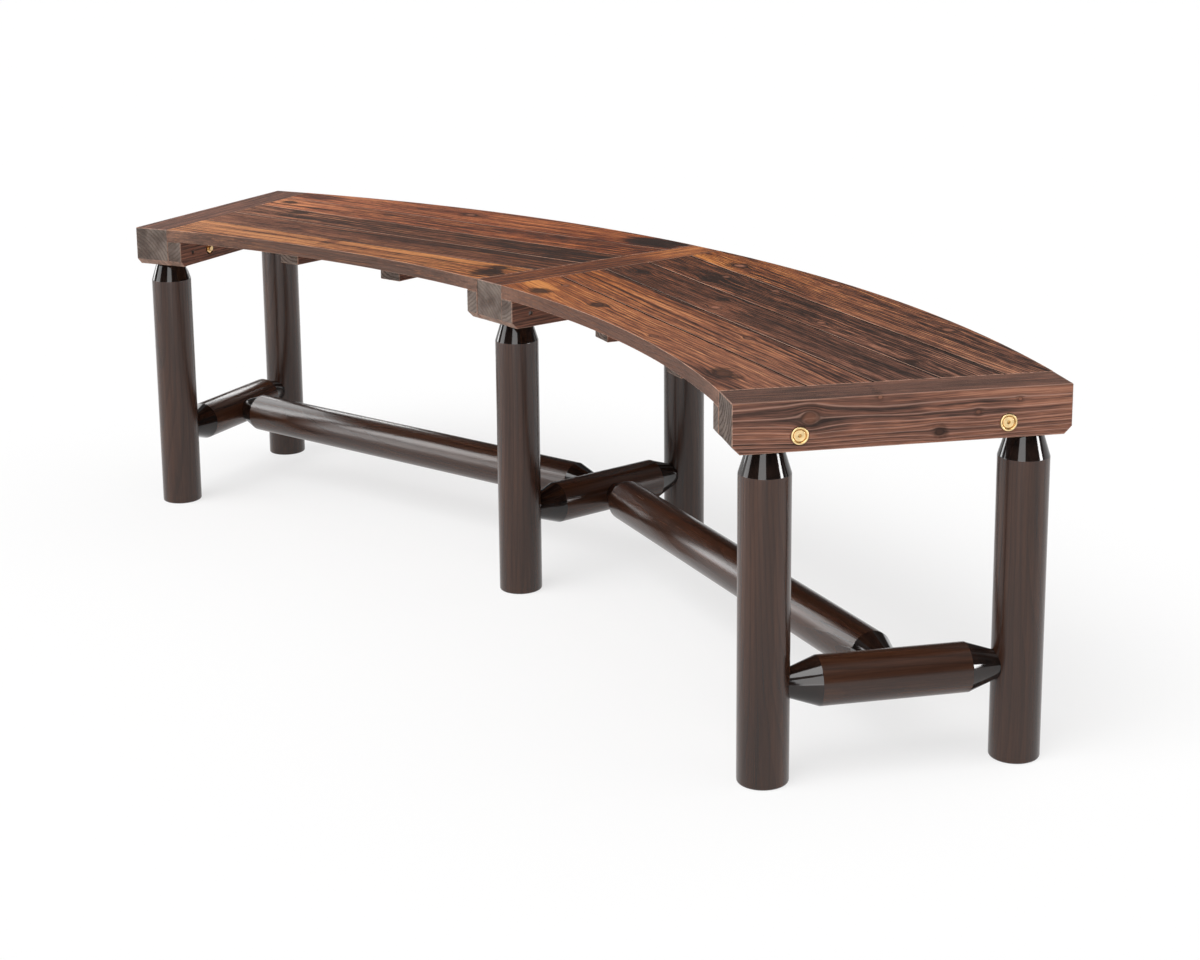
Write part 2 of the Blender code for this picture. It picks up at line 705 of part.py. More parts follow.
def build_bench():
    rail_wood = new_material("rail_wood", RAIL_COLOUR, WOOD_ROUGHNESS)
    batten_wood = new_material("batten_wood", BATTEN_COLOUR, WOOD_ROUGHNESS)
    turned_wood = new_material("turned_wood", TURNED_COLOUR, TURNED_ROUGHNESS)
    brass = new_material("brass", BRASS_COLOUR, METAL_ROUGHNESS, 1.0)
    steel = new_material("zinc_plated_steel", STEEL_COLOUR, METAL_ROUGHNESS, 1.0)

    rail_reach = RAIL_THICKNESS / 2 * math.sin(HALF_ANGLE)
    front = INNER_RADIUS * math.cos(HALF_ANGLE) - rail_reach
    ring_centre = new_frame("ring_centre", location=(0, -(front + OUTER_RADIUS) / 2, 0))
    rail_frames = {
        where: new_frame(f"rail_frame_{where}", ring_centre, turn=sign * HALF_ANGLE)
        for where, sign in RAILS.items()
    }
    half_frames = {
        side: new_frame(f"half_frame_{side}", ring_centre, turn=sign * MIDDLE_ANGLE)
        for side, sign in SIDES.items()
    }

    slats = make_slats(half_frames)
    battens = make_battens(half_frames, batten_wood)
    rails = make_rails(rail_frames, rail_wood)
    cleats = make_cleats(rail_frames, rail_wood)
    legs = make_legs(rail_frames, rails, turned_wood)
    cross_stretchers = make_cross_stretchers(rail_frames, legs, turned_wood)
    make_long_stretchers(half_frames, cross_stretchers, turned_wood)
    make_bolts(rail_frames, rails, cleats, brass, steel)
    make_lock_screws(rail_frames, rails, cleats, legs, steel)
    for side, sign in SIDES.items():
        cut_cleat_screw_holes(side, sign, half_frames[side], slats, cleats)
        cut_batten_screw_holes(side, half_frames[side], slats, battens)


build_bench()
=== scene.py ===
"""Looks of the curved garden bench: slats, turned pieces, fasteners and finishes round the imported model.

Lengths are in metres and +Z is up. The hollow side of the curve faces -Y. The seat is a sector of a
ring whose centre lies in front of the bench, and most places are worked out in the frames of the
rails and of the two halves, which all turn about that centre.
"""

import math

import bmesh
import bpy
from mathutils import Matrix, Vector


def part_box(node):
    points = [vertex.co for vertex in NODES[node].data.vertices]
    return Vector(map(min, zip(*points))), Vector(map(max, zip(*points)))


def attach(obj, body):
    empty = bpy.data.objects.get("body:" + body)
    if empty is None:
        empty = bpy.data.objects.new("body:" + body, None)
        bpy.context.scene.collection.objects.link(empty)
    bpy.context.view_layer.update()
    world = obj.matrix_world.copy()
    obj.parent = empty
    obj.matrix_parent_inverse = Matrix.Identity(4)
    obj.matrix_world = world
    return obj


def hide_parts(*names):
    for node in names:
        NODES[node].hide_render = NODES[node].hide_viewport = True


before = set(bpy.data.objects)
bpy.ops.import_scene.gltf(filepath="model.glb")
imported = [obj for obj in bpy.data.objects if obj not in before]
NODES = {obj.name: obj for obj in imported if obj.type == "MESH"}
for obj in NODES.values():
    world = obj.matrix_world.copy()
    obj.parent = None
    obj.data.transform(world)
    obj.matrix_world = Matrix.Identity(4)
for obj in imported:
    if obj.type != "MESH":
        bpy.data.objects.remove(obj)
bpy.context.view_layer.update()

# The ring that the seat is a sector of, and the places read from the centre rail.
INNER_RADIUS = 1.495
HALF_ANGLE = math.radians(27.0)
MIDDLE_ANGLE = HALF_ANGLE / 2
RAIL_LOW, RAIL_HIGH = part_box("centre_rail")
RING_CENTRE = Vector((0, RAIL_LOW.y - INNER_RADIUS, 0))
SEAT_TOP = RAIL_HIGH.z
SEAT_DEPTH = RAIL_HIGH.y - RAIL_LOW.y
OUTER_RADIUS = INNER_RADIUS + SEAT_DEPTH
RAIL_BOTTOM = RAIL_LOW.z
RAIL_THICKNESS = RAIL_HIGH.x - RAIL_LOW.x

SIDES = {"left": -1, "right": 1}
RAILS = {"left": -1, "centre": 0, "right": 1}
ROWS = ("front", "back")

# Slats, cleats and battens. Their sizes are the model's, but the slats' edges and arcs are finer.
FIT = 0.0003
SLATS_IN_HALF = 5
SLAT_GAP = 0.003
SLAT_THICKNESS = 0.018
SLAT_BOTTOM = SEAT_TOP - SLAT_THICKNESS
SLAT_END_GAP = 0.0005
SLAT_ROUNDING = 0.0004
FRONT_SLAT_LEAST_WIDTH = 0.0615
BACK_SLAT_LEAST_WIDTH = 0.055
ARC_STEPS = 48
CLEAT_THICKNESS = 0.024
CLEAT_HEIGHT = SLAT_BOTTOM - FIT - RAIL_BOTTOM
CLEAT_MIDDLE = RAIL_THICKNESS / 2 + FIT + CLEAT_THICKNESS / 2
BATTEN_FROM_MIDDLE_LINE = 0.105
BATTEN_THICKNESS = 0.018
BATTEN_BOTTOM = SLAT_BOTTOM - FIT - BATTEN_THICKNESS

# Legs and stretchers. Their sizes are the model's, but they have more sides and eased cones.
LEG_INSET = 0.045
LEG_RADIUS = 0.030
LEG_CONE_HEIGHT = 0.029
LEG_NECK_RADIUS = 0.021
LEG_TENON_RADIUS = 0.019
LEG_TENON_LENGTH = 0.040
LEGS_FROM_CENTRE = {"front": INNER_RADIUS + LEG_INSET, "back": OUTER_RADIUS - LEG_INSET}
FOOT_ROUNDING = 0.003
STRETCHER_RADIUS = 0.029
STRETCHER_HEIGHT = 0.114
STRETCHER_CONE_LENGTH = 0.033
STRETCHER_NECK_RADIUS = 0.0175
STRETCHER_TENON_RADIUS = 0.014
STRETCHER_TENON_FROM_AXIS = 0.007
LONG_STRETCHER_FROM_FRONT = 0.205
TENON_CHAMFER = 0.002
CONE_EASING = 0.0006
TURNED_STEPS = 96

# Bolts. A bolt's own origin lies on the rail's outer face, with +Z out of the bench. Its rim and its
# socket are narrower than the model's, and its end stands out of the nut.
NUT_RECESS_DEPTH = 0.009
NUT_THICKNESS = 0.0065
WASHER_THICKNESS = 0.0015
BOLT_OUT_OF_NUT = 0.0035
BOLT_FROM_LEG = 0.031
BOLT_HEIGHT_SHARE = 0.45
BOLT_HEIGHT = RAIL_BOTTOM + BOLT_HEIGHT_SHARE * CLEAT_HEIGHT
BOLT_RADIUS = 0.004
BOLT_HEAD_RADIUS = 0.010
BOLT_SEAT = -0.0027
BOLT_MIDDLE = BOLT_SEAT + 0.0028
BOLT_TOP = BOLT_SEAT + 0.0040
BOLT_GROOVE = BOLT_SEAT + 0.0012
BOLT_RIM_RADIUS = BOLT_HEAD_RADIUS - 0.0020
BOLT_BOSS_RADIUS = 0.0064
BOLT_WASHER = -(RAIL_THICKNESS + FIT + CLEAT_THICKNESS) + NUT_RECESS_DEPTH - FIT
BOLT_END = BOLT_WASHER - WASHER_THICKNESS - FIT - NUT_THICKNESS - BOLT_OUT_OF_NUT
SOCKET_WIDTH = 0.0042
SOCKET_BOTTOM = BOLT_SEAT - 0.0006

# Wood screws up through the cleats and battens into the slats.
CLEAT_SCREW_SLAT_SHARES = (0.5, 0.5, 0.5, 0.5, 0.25)
SCREW_IN_SLAT = 0.010
SCREW_RADIUS = 0.002
SCREW_HEAD_RADIUS = 0.004
SCREW_HEAD_HEIGHT = 0.0025
SCREW_PITCH = 0.0014
SCREW_POINT = 0.004
OVERRUN = 0.001

# Camera, fitted to the photograph.
CAMERA_PLACE = (2.36824, -1.74732, 1.03623)
CAMERA_YAW = 0.85816
CAMERA_PITCH = 0.21008
CAMERA_ROLL = 0.00254
CAMERA_LENS = 64.125
CAMERA_SENSOR = 36.0
CAMERA_SHIFT = (-0.09535, -0.15)

# Floor, and the soft boxes that only glossy finishes show: azimuth, elevation, width, height, radiance.
FLOOR_RADIUS = 60.0
FLOOR_COLOUR = (0.92, 0.92, 0.92)
FLOOR_GLOW = 0.72
BOX_DISTANCE = 4.5
BOX_AIM = (0, 0, 0.3)
BOXES = {
    "box_left_wide": (-32, 11, 2.0, 1.6, 3.6),
    "box_left_core": (-32, 11, 1.1, 1.5, 12.0),
    "box_front": (42, 17, 2.2, 2.9, 3.6),
    "box_right": (118, 10, 0.9, 0.8, 22.0),
    "box_far_left": (-82, 32, 3.0, 2.0, 3.5),
    "box_left_low": (-70, 13, 0.9, 1.2, 7.0),
    "box_left_high": (-45, 33, 2.0, 1.4, 8.0),
}


def turned_frame(turn):
    """A frame at the ring's centre, turned clockwise seen from above. +Y runs out to the seat."""
    return Matrix.Translation(RING_CENTRE) @ Matrix.Rotation(-turn, 4, "Z")


RAIL_FRAMES = {where: turned_frame(sign * HALF_ANGLE) for where, sign in RAILS.items()}
HALF_FRAMES = {side: turned_frame(sign * MIDDLE_ANGLE) for side, sign in SIDES.items()}


def local_box(node, place):
    """Lowest and highest corner of a CAD node in a frame's own directions."""
    inverse = place.inverted()
    points = [inverse @ vertex.co for vertex in NODES[node].data.vertices]
    low = Vector([min(point[axis] for point in points) for axis in range(3)])
    high = Vector([max(point[axis] for point in points) for axis in range(3)])
    return low, high


def axes(x, y, z):
    """A turn whose X, Y and Z run in three given directions."""
    return Matrix((x, y, z)).transposed().to_4x4()


# Turns to the frame of a piece's grain, whose X runs along the grain and Z out of a face.
RAIL_TOP_GRAIN = axes((0, 1, 0), (-1, 0, 0), (0, 0, 1))
RAIL_SIDE_GRAIN = axes((0, 1, 0), (0, 0, 1), (1, 0, 0))
BATTEN_GRAIN = axes((0, 1, 0), (1, 0, 0), (0, 0, -1))
TURNED_GRAIN = axes((0, 0, 1), (0, 1, 0), (-1, 0, 0))


def add_to_scene(item):
    bpy.context.scene.collection.objects.link(item)
    return item


def make_camera():
    camera = add_to_scene(bpy.data.objects.new("camera", bpy.data.cameras.new("camera")))
    camera.data.lens = CAMERA_LENS
    camera.data.sensor_width = CAMERA_SENSOR
    camera.data.shift_x, camera.data.shift_y = CAMERA_SHIFT
    look = Matrix.Rotation(CAMERA_YAW, 4, "Z") @ Matrix.Rotation(math.pi / 2 - CAMERA_PITCH, 4, "X")
    camera.matrix_world = Matrix.Translation(CAMERA_PLACE) @ look @ Matrix.Rotation(CAMERA_ROLL, 4, "Z")
    bpy.context.scene.camera = camera


class Nodes:
    """A node tree that is written as expressions. Each method adds a node and returns its output."""

    def __init__(self, tree):
        self.tree = tree

    def add(self, kind, **settings):
        """A new node, with its settings."""
        node = self.tree.nodes.new("ShaderNode" + kind)
        for name, value in settings.items():
            setattr(node, name, value)
        return node

    def feed(self, socket, value):
        """Link a socket to an output, or give it a plain value."""
        if isinstance(value, bpy.types.NodeSocket):
            self.tree.links.new(value, socket)
        else:
            socket.default_value = value

    def fill(self, node, *values):
        for socket, value in zip(node.inputs, values):
            self.feed(socket, value)
        return node

    def math(self, operation, *values, clamp=False):
        return self.fill(self.add("Math", operation=operation, use_clamp=clamp), *values).outputs[0]

    def times(self, first, second):
        return self.math("MULTIPLY", first, second)

    def plus(self, start, *terms):
        """The start value plus the product of each (value, share) term."""
        for value, share in terms:
            start = self.math("MULTIPLY_ADD", value, share, start)
        return start

    def centred(self, value):
        """Noise about 0, not about a half."""
        return self.math("SUBTRACT", value, 0.5)

    def hypotenuse(self, first, second):
        return self.math("SQRT", self.plus(self.times(first, first), (second, second)))

    def vector(self, operation, *values):
        node = self.fill(self.add("VectorMath", operation=operation), *values)
        return node.outputs["Value" if operation in ("DOT_PRODUCT", "LENGTH") else "Vector"]

    def split(self, vector):
        return tuple(self.fill(self.add("SeparateXYZ"), vector).outputs)

    def join(self, x, y, z):
        return self.fill(self.add("CombineXYZ"), x, y, z).outputs[0]

    def noise(self, vector, scale, detail=2.0, roughness=0.5):
        """Noise between 0 and 1, with its own scale along each axis, in features per metre."""
        node = self.add("TexNoise")
        self.feed(node.inputs["Vector"], self.vector("MULTIPLY", vector, scale))
        for name, value in (("Scale", 1.0), ("Detail", detail), ("Roughness", roughness)):
            node.inputs[name].default_value = value
        return node.outputs[0]

    def rise(self, value, start, end, low=0.0, high=1.0, kind="SMOOTHSTEP"):
        """From low at start to high at end, and level outside."""
        node = self.add("MapRange", interpolation_type=kind)
        return self.fill(node, value, start, end, low, high).outputs[0]

    def fall(self, value, start, end):
        """1 below start and 0 above end, with a smooth fall between them."""
        return self.rise(value, start, end, 1.0, 0.0)

    def ramp(self, value, *stops):
        """A colour or a grey level from (place, colour or level) stops."""
        node = self.fill(self.add("ValToRGB"), value)
        elements = node.color_ramp.elements
        while len(elements) < len(stops):
            elements.new(1.0)
        for element, (place, tone) in zip(elements, stops):
            element.position = place
            element.color = (*tone, 1.0) if isinstance(tone, tuple) else (tone,) * 3 + (1.0,)
        return node.outputs[0]

    def blend(self, factor, first, second):
        """The first colour where the factor is 0 and the second where it is 1."""
        node = self.add("Mix", data_type="RGBA")
        self.feed(node.inputs[0], factor)
        for socket, tone in zip(node.inputs[6:8], (first, second)):
            self.feed(socket, tone if isinstance(tone, bpy.types.NodeSocket) else (*tone, 1.0))
        return node.outputs[2]

    def bump(self, height, distance):
        node = self.add("Bump")
        self.feed(node.inputs["Height"], height)
        node.inputs["Distance"].default_value = distance
        node.inputs["Strength"].default_value = 1.0
        return node.outputs[0]


def new_material(name):
    """A new material with its nodes and its Principled shader."""
    material = bpy.data.materials.new(name)
    material.use_nodes = True
    return material, Nodes(material.node_tree), material.node_tree.nodes["Principled BSDF"]


def grain_frame(name, place):
    """An empty whose X runs along the grain, Y across the face that shows, and Z out of it."""
    empty = add_to_scene(bpy.data.objects.new(f"grain_{name}", None))
    empty.matrix_world = place
    return empty


def colour(red, green, blue):
    """A colour as it looks on a screen, 0 to 255, as the shader's linear values."""

    def linear(level):
        share = level / 255
        return share / 12.92 if share <= 0.04045 else ((share + 0.055) / 1.055) ** 2.4

    return tuple(linear(level) for level in (red, green, blue))


def between(first, second, share):
    """A colour on the way from the first to the second."""
    return tuple(start + (end - start) * share for start, end in zip(first, second))


# Tones of the heat-treated fir.
CHAR = colour(44, 34, 30)
END_GRAIN = colour(137, 124, 115)
END_GRAIN_DARK = colour(62, 52, 47)
SAWN_EDGE = colour(105, 79, 68)
# Painted shade for a slat's sides in a gap and for its ends against a rail.
PAINTED_GAP_SHADE = colour(18, 12, 10)
CREST = colour(190, 148, 130)
# Pale edges, partly from use and partly a painted highlight.
EDGE_WEAR_AND_HIGHLIGHT = colour(206, 164, 142)
KNOT_DARK = colour(50, 37, 32)
KNOT_PALE = colour(172, 116, 92)


def shades(*tones):
    """A palette's stops, from the charred streaks to the palest wood."""
    return tuple(zip((0.0, 0.28, 0.5, 0.74, 1.0), tones))


WARM = shades(CHAR, colour(78, 50, 40), colour(118, 69, 48), colour(162, 96, 58), colour(206, 138, 82))
RUSSET = shades(CHAR, colour(82, 48, 38), colour(123, 66, 45), colour(168, 91, 55), colour(211, 133, 80))
SMOKED = shades(CHAR, colour(81, 51, 39), colour(119, 72, 52), colour(155, 96, 67), colour(192, 130, 91))
ROSY = shades(colour(58, 46, 42), colour(82, 62, 55), colour(112, 80, 69), colour(144, 98, 80),
              colour(180, 128, 104))

# Patterns of the fir, along and across its grain: features per metre, octaves and their roughness.
WANDER = ((1.6, 5.0, 5.0), 2.0)
RIPPLE = ((14.0, 60.0, 60.0), 2.0)
UNEVEN_YEARS = ((0.8, 8.0, 8.0), 1.0)
BANDS = ((3.2, 34.0, 34.0), 2.0)
STREAKS = ((3.0, 150.0, 150.0), 3.0, 0.6)
THREADS = ((4.5, 300.0, 300.0), 3.0, 0.6)
FIBRES = ((24.0, 750.0, 750.0), 2.0, 0.7)
BLOTCHES = ((55.0, 55.0, 55.0), 2.0, 0.6)

# How far the grain strays across the board, how much each pattern shifts the tone, and what is added
# to every board's own tone.
WANDER_REACH = 0.030
RIPPLE_REACH = 0.0028
BAND_SHARE = 0.45
THREAD_SHARE = 1.7
FIBRE_SHARE = 2.0
TONE_OFFSET = 0.09

# One year's growth: its dark late wood, a pale line on its ridge, and its arc on an end.
LATE_WOOD = ((0.0, 0.25), (0.10, 0.0), (0.60, 0.05), (0.78, 0.45), (0.90, 1.0), (1.0, 0.3))
RIDGE = ((0.49, 0.0), (0.57, 1.0), (0.61, 1.0), (0.69, 0.0))
END_ARC = ((0.0, 0.1), (0.45, 0.0), (0.75, 0.9), (0.90, 1.0), (1.0, 0.1))

# A knot's length over its width, the fir's gloss, and where a half's saturation reaches its end values.
KNOT_STRETCH = 1.35
FIR_SHEEN = 0.10
HALF_REACH = 0.42


def knot_group():
    """Node group of one knot: how far it pushes the grain aside, and its own distance in radii."""
    group = bpy.data.node_groups.new("knot", "ShaderNodeTree")
    for name, kind in (("Point", "Vector"), ("Centre", "Vector"), ("Radius", "Float")):
        group.interface.new_socket(name, in_out="INPUT", socket_type="NodeSocket" + kind)
    for name in ("Shift", "Distance"):
        group.interface.new_socket(name, in_out="OUTPUT", socket_type="NodeSocketFloat")
    n = Nodes(group)
    given = group.nodes.new("NodeGroupInput").outputs
    result = group.nodes.new("NodeGroupOutput").inputs
    along, across, _ = n.split(n.vector("SUBTRACT", given["Point"], given["Centre"]))
    away = n.hypotenuse(n.math("DIVIDE", along, KNOT_STRETCH), across)
    distance = n.math("DIVIDE", away, given["Radius"])
    n.feed(result["Shift"], n.math("DIVIDE", across, n.plus(0.6, (distance, distance))))
    n.feed(result["Distance"], distance)
    return group


KNOT = knot_group()


def knot(n, point, centre, radius):
    node = n.tree.nodes.new("ShaderNodeGroup")
    node.node_tree = KNOT
    n.fill(node, point, (*centre, 0.0), radius)
    return node.outputs["Shift"], node.outputs["Distance"]


def fir(name, place, tone=0.5, slope=0.0, contrast=1.0, seed=0, palette=WARM, saturation_with_sheen=None,
        pith=(0.0, -0.05), pitch=0.0042, lines=0.35, crest=0.15, unbroken=0.0, streaky=0.75, knots=(),
        stains=(), relief=0.00035, wear_and_highlight=0.5, cap=0.0, sides=(), ends=(END_GRAIN, END_GRAIN_DARK),
        end_lines=0.85, end_pitch=0.0055):
    """Sawn, charred and brushed fir, in the frame of an empty.

    tone is a place in the palette, which rises by slope a metre along the grain, and contrast and
    streaky say how much the streaks change it. saturation_with_sheen is the saturation at both ends of a
    half; where it is lower, the lost saturation is a painted sheen.
    pith is where the growth rings have their middle, across the board and out of it, and pitch is
    their width. lines and crest say how dark their late wood is and how pale the ridges are, and
    unbroken how far a ridge runs on. Knots are (along, across, radius, darkness, paleness of the
    heart), and stains (along, across, length, width, change of tone). relief is the depth of the
    brushed grain, wear_and_highlight the paleness of the edges from use and from a painted highlight,
    and cap a change of tone on the faces to -Y and +Y. sides are (share, colour) of these two faces,
    and in a gap that colour is painted shade. ends are the colours of the end grain, and on a slat's
    ends they are painted shade; their arcs have the strength end_lines and the width end_pitch.
    """
    material, n, shader = new_material(name)
    source = n.add("TexCoord", object=place).outputs["Object"]
    drift = (seed * 3.7, seed * 1.9, seed * 2.3)
    wood = n.vector("ADD", source, drift)

    # The grain wanders along the board and flows round each knot.
    x, y, z = n.split(source)
    across = n.plus(y, (n.centred(n.noise(wood, *WANDER)), WANDER_REACH),
                    (n.centred(n.noise(wood, *RIPPLE)), RIPPLE_REACH))
    marks = []
    for along_at, across_at, radius, darkness, heart in knots:
        shift, distance = knot(n, source, (along_at, across_at), radius)
        across = n.math("SUBTRACT", across, shift)
        marks.append((distance, darkness, heart))

    # Growth rings about the pith, which lies off the board.
    radius = n.hypotenuse(n.math("SUBTRACT", across, pith[0]), n.math("SUBTRACT", z, pith[1]))
    rings = n.plus(n.math("DIVIDE", radius, pitch), (n.noise(wood, *UNEVEN_YEARS), 3.0))
    ring = n.math("FRACT", rings)
    late = n.ramp(ring, *LATE_WOOD)
    ridge = n.ramp(ring, *RIDGE)
    year = n.add("TexWhiteNoise", noise_dimensions="1D")
    n.feed(year.inputs["W"], n.math("ADD", n.math("FLOOR", rings), seed * 11.0))
    late_line = n.times(late, n.math("ADD", year.outputs[0], 0.30))

    # Streaks and fibres run along the grain.
    grain = n.vector("ADD", n.join(x, across, z), drift)
    bands, streaks, threads, fibres = [n.noise(grain, *kind) for kind in (BANDS, STREAKS, THREADS, FIBRES)]
    level = n.plus(tone + TONE_OFFSET, (x, slope))
    shares = (BAND_SHARE, streaky, THREAD_SHARE, FIBRE_SHARE)
    for pattern, share in zip((bands, streaks, threads, fibres), shares):
        level = n.plus(level, (n.centred(pattern), share * contrast))
    level = n.plus(level, (late_line, -lines * contrast))
    board = n.join(x, across, 0.0)
    for along_at, across_at, length, width, change in stains:
        offset = n.vector("SUBTRACT", board, (along_at, across_at, 0.0))
        reach = n.vector("LENGTH", n.vector("MULTIPLY", offset, (2 / length, 2 / width, 0.0)))
        ragged = n.plus(reach, (n.centred(streaks), 1.3))
        level = n.plus(level, (n.fall(ragged, 0.55, 1.15), change))

    # Which way the surface faces, in the grain's frame.
    normal = n.add("NewGeometry").outputs["Normal"]
    looks = [n.vector("DOT_PRODUCT", normal, tuple(axis)) for axis in place.matrix_world.to_3x3().col]
    facing = [n.math("ABSOLUTE", look) for look in looks]
    level = n.plus(level, (n.rise(facing[1], 0.75, 0.95), cap))
    tint = n.ramp(level, *palette)
    # Where the saturation drops towards a half's end, it paints the sheen of a reflection.
    if saturation_with_sheen:
        sheen_saturation = n.add("HueSaturation")
        n.feed(sheen_saturation.inputs["Saturation"], n.rise(x, -HALF_REACH, HALF_REACH, *saturation_with_sheen, kind="LINEAR"))
        n.feed(sheen_saturation.inputs["Color"], tint)
        tint = sheen_saturation.outputs[0]
    bright = n.times(ridge, n.rise(threads, 0.35 - unbroken, 0.65 - unbroken))
    tint = n.blend(n.times(bright, crest), tint, CREST)

    # Knots are darker than the board, with a black rim, and their heart is paler again.
    height = late
    blotches = n.centred(n.noise(wood, *BLOTCHES))
    for distance, darkness, heart in marks:
        loose = n.plus(distance, (blotches, 0.8))
        halo = n.fall(n.plus(loose, (blotches, 3.0)), 0.8, 2.4)
        body = n.fall(loose, 0.8, 1.1)
        middle = between(KNOT_DARK, KNOT_PALE, heart)
        rim = between(KNOT_DARK, KNOT_PALE, heart * 0.35)
        core = n.ramp(loose, (0.0, middle), (0.45, middle), (0.80, rim), (1.0, KNOT_DARK))
        tint = n.blend(n.times(halo, 0.8 * darkness), tint, CHAR)
        tint = n.blend(n.times(body, 0.68), tint, core)
        height = n.plus(height, (body, -0.4))

    # Sides, ends and pale edges; painted shade in gaps and a painted highlight on the edges.
    for sign, (share, side_tone) in zip((-1.0, 1.0), sides):
        looking = n.rise(n.times(looks[1], sign), 0.75, 0.95)
        cover = n.math("MULTIPLY", n.math("ADD", threads, 0.15), share, clamp=True)
        tint = n.blend(n.times(looking, cover), tint, side_tone)
    # On the slats the end colours are painted shade; on the other pieces they are the end grain's own.
    arcs = n.math("FRACT", n.plus(n.math("DIVIDE", radius, end_pitch), (threads, 0.8)))
    weathered_and_shaded_end = n.blend(n.times(n.ramp(arcs, *END_ARC), end_lines), *ends)
    weathered_and_shaded_end = n.blend(n.times(n.rise(bands, 0.35, 0.7), 0.75), weathered_and_shaded_end, ends[1])
    tint = n.blend(n.times(n.rise(facing[0], 0.55, 0.75), 0.9), tint, weathered_and_shaded_end)
    # The edges are paler, partly from use and partly as a painted highlight.
    widest = n.math("MAXIMUM", n.math("MAXIMUM", facing[0], facing[1]), facing[2])
    worn_and_lit = n.times(n.fall(widest, 0.93, 0.995), n.math("ADD", n.rise(streaks, 0.3, 0.7), 0.4))
    tint = n.blend(n.math("MULTIPLY", worn_and_lit, wear_and_highlight, clamp=True), tint, EDGE_WEAR_AND_HIGHLIGHT)

    n.feed(shader.inputs["Base Color"], tint)
    n.feed(shader.inputs["Roughness"], n.plus(0.56, (streaks, 0.22), (late, -0.08)))
    n.feed(shader.inputs["Normal"], n.bump(n.plus(height, (fibres, 0.35), (threads, 0.5)), relief))
    shader.inputs["Specular IOR Level"].default_value = FIR_SHEEN
    return material


TURNED_GLOSS = 0.50


def varnished(name, place, seed):
    """Dark stained fir under a glossy varnish. Its X runs along the piece's axis."""
    material, n, shader = new_material(name)
    source = n.add("TexCoord", object=place).outputs["Object"]
    wood = n.vector("ADD", source, (seed * 2.9, seed * 1.3, seed * 4.1))
    x, y, z = n.split(source)
    wander = n.centred(n.noise(wood, (2.5, 9.0, 9.0), 2.0))
    side = n.plus(n.math("ADD", y, 0.006), (x, 0.035), (wander, 0.018))
    depth = n.plus(n.math("SUBTRACT", z, 0.004), (wander, -0.018))
    ring = n.math("FRACT", n.math("DIVIDE", n.hypotenuse(side, depth), 0.0034))
    late = n.ramp(ring, (0.0, 0.0), (0.5, 0.1), (0.85, 1.0), (0.94, 1.0), (1.0, 0.0))
    streaks = n.noise(wood, (3.0, 120.0, 120.0), 3.0, 0.6)
    fibres = n.noise(wood, (25.0, 900.0, 900.0), 2.0, 0.7)
    clouds = n.noise(wood, (3.0, 14.0, 14.0), 2.0)
    level = n.plus(0.0, (streaks, 0.5), (clouds, 0.5), (n.centred(fibres), 0.25), (late, -0.09))
    tint = n.ramp(level, (0.20, colour(36, 20, 13)), (0.45, colour(58, 34, 22)), (0.62, colour(76, 46, 30)),
                  (0.85, colour(98, 62, 42)))
    n.feed(shader.inputs["Base Color"], tint)
    n.feed(shader.inputs["Roughness"], n.plus(0.17, (streaks, 0.14)))
    shader.inputs["Specular IOR Level"].default_value = TURNED_GLOSS
    n.feed(shader.inputs["Normal"], n.bump(n.plus(streaks, (late, 0.5)), 0.00012))
    return material


ORIGIN = grain_frame("origin", Matrix.Identity(4))


def lacquered(name, seed):
    """Near-black gloss lacquer of the cones, with faint brush marks."""
    material, n, shader = new_material(name)
    place = n.add("TexCoord", object=ORIGIN).outputs["Object"]
    cloud = n.noise(n.vector("ADD", place, (seed, 0.0, 0.0)), (60.0, 60.0, 60.0), 2.0)
    n.feed(shader.inputs["Base Color"], n.ramp(cloud, (0.3, colour(20, 14, 12)), (0.7, colour(40, 27, 22))))
    n.feed(shader.inputs["Roughness"], n.plus(0.05, (cloud, 0.06)))
    n.feed(shader.inputs["Normal"], n.bump(cloud, 0.00006))
    return material


# Painted shade in a bolt head's groove.
PAINTED_GROOVE_SHADE = colour(96, 52, 24)


def plated(name, tone, roughness, seed, groove=None):
    """Plated metal, faintly cloudy from use. A groove, below a height of the piece, gets a dull dark painted
    shade.
    """
    material, n, shader = new_material(name)
    place = n.add("TexCoord", object=ORIGIN).outputs["Object"]
    cloud = n.noise(n.vector("ADD", place, (seed, 0.0, 0.0)), (180.0, 180.0, 180.0), 3.0, 0.6)
    fine = n.noise(place, (1500.0, 1500.0, 1500.0), 1.0)
    darker = tuple(level * 0.72 for level in tone)
    tint = n.ramp(cloud, (0.32, darker), (0.60, tone))
    if groove is not None:
        height = n.split(n.add("TexCoord").outputs["Object"])[2]
        low = n.fall(height, groove + 0.0001, groove + 0.0014)
        # Painted shade in the groove.
        tint = n.blend(n.times(low, 0.35), tint, PAINTED_GROOVE_SHADE)
    n.feed(shader.inputs["Base Color"], tint)
    n.feed(shader.inputs["Roughness"], n.plus(roughness, (cloud, 0.16)))
    n.feed(shader.inputs["Normal"], n.bump(fine, 0.00004))
    shader.inputs["Metallic"].default_value = 1.0
    return material


BRASS = plated("brass_plate", (1.0, 0.74, 0.38), 0.22, 3, groove=BOLT_GROOVE)
NUT_BRASS = plated("brass_plate_nut", (0.95, 0.62, 0.30), 0.20, 4)
STEEL = plated("zinc_plate", (0.60, 0.58, 0.55), 0.28, 7)
BLACKENED = plated("blackened_steel", (0.14, 0.12, 0.11), 0.28, 9)
LACQUER = lacquered("lacquer_cones", 5)


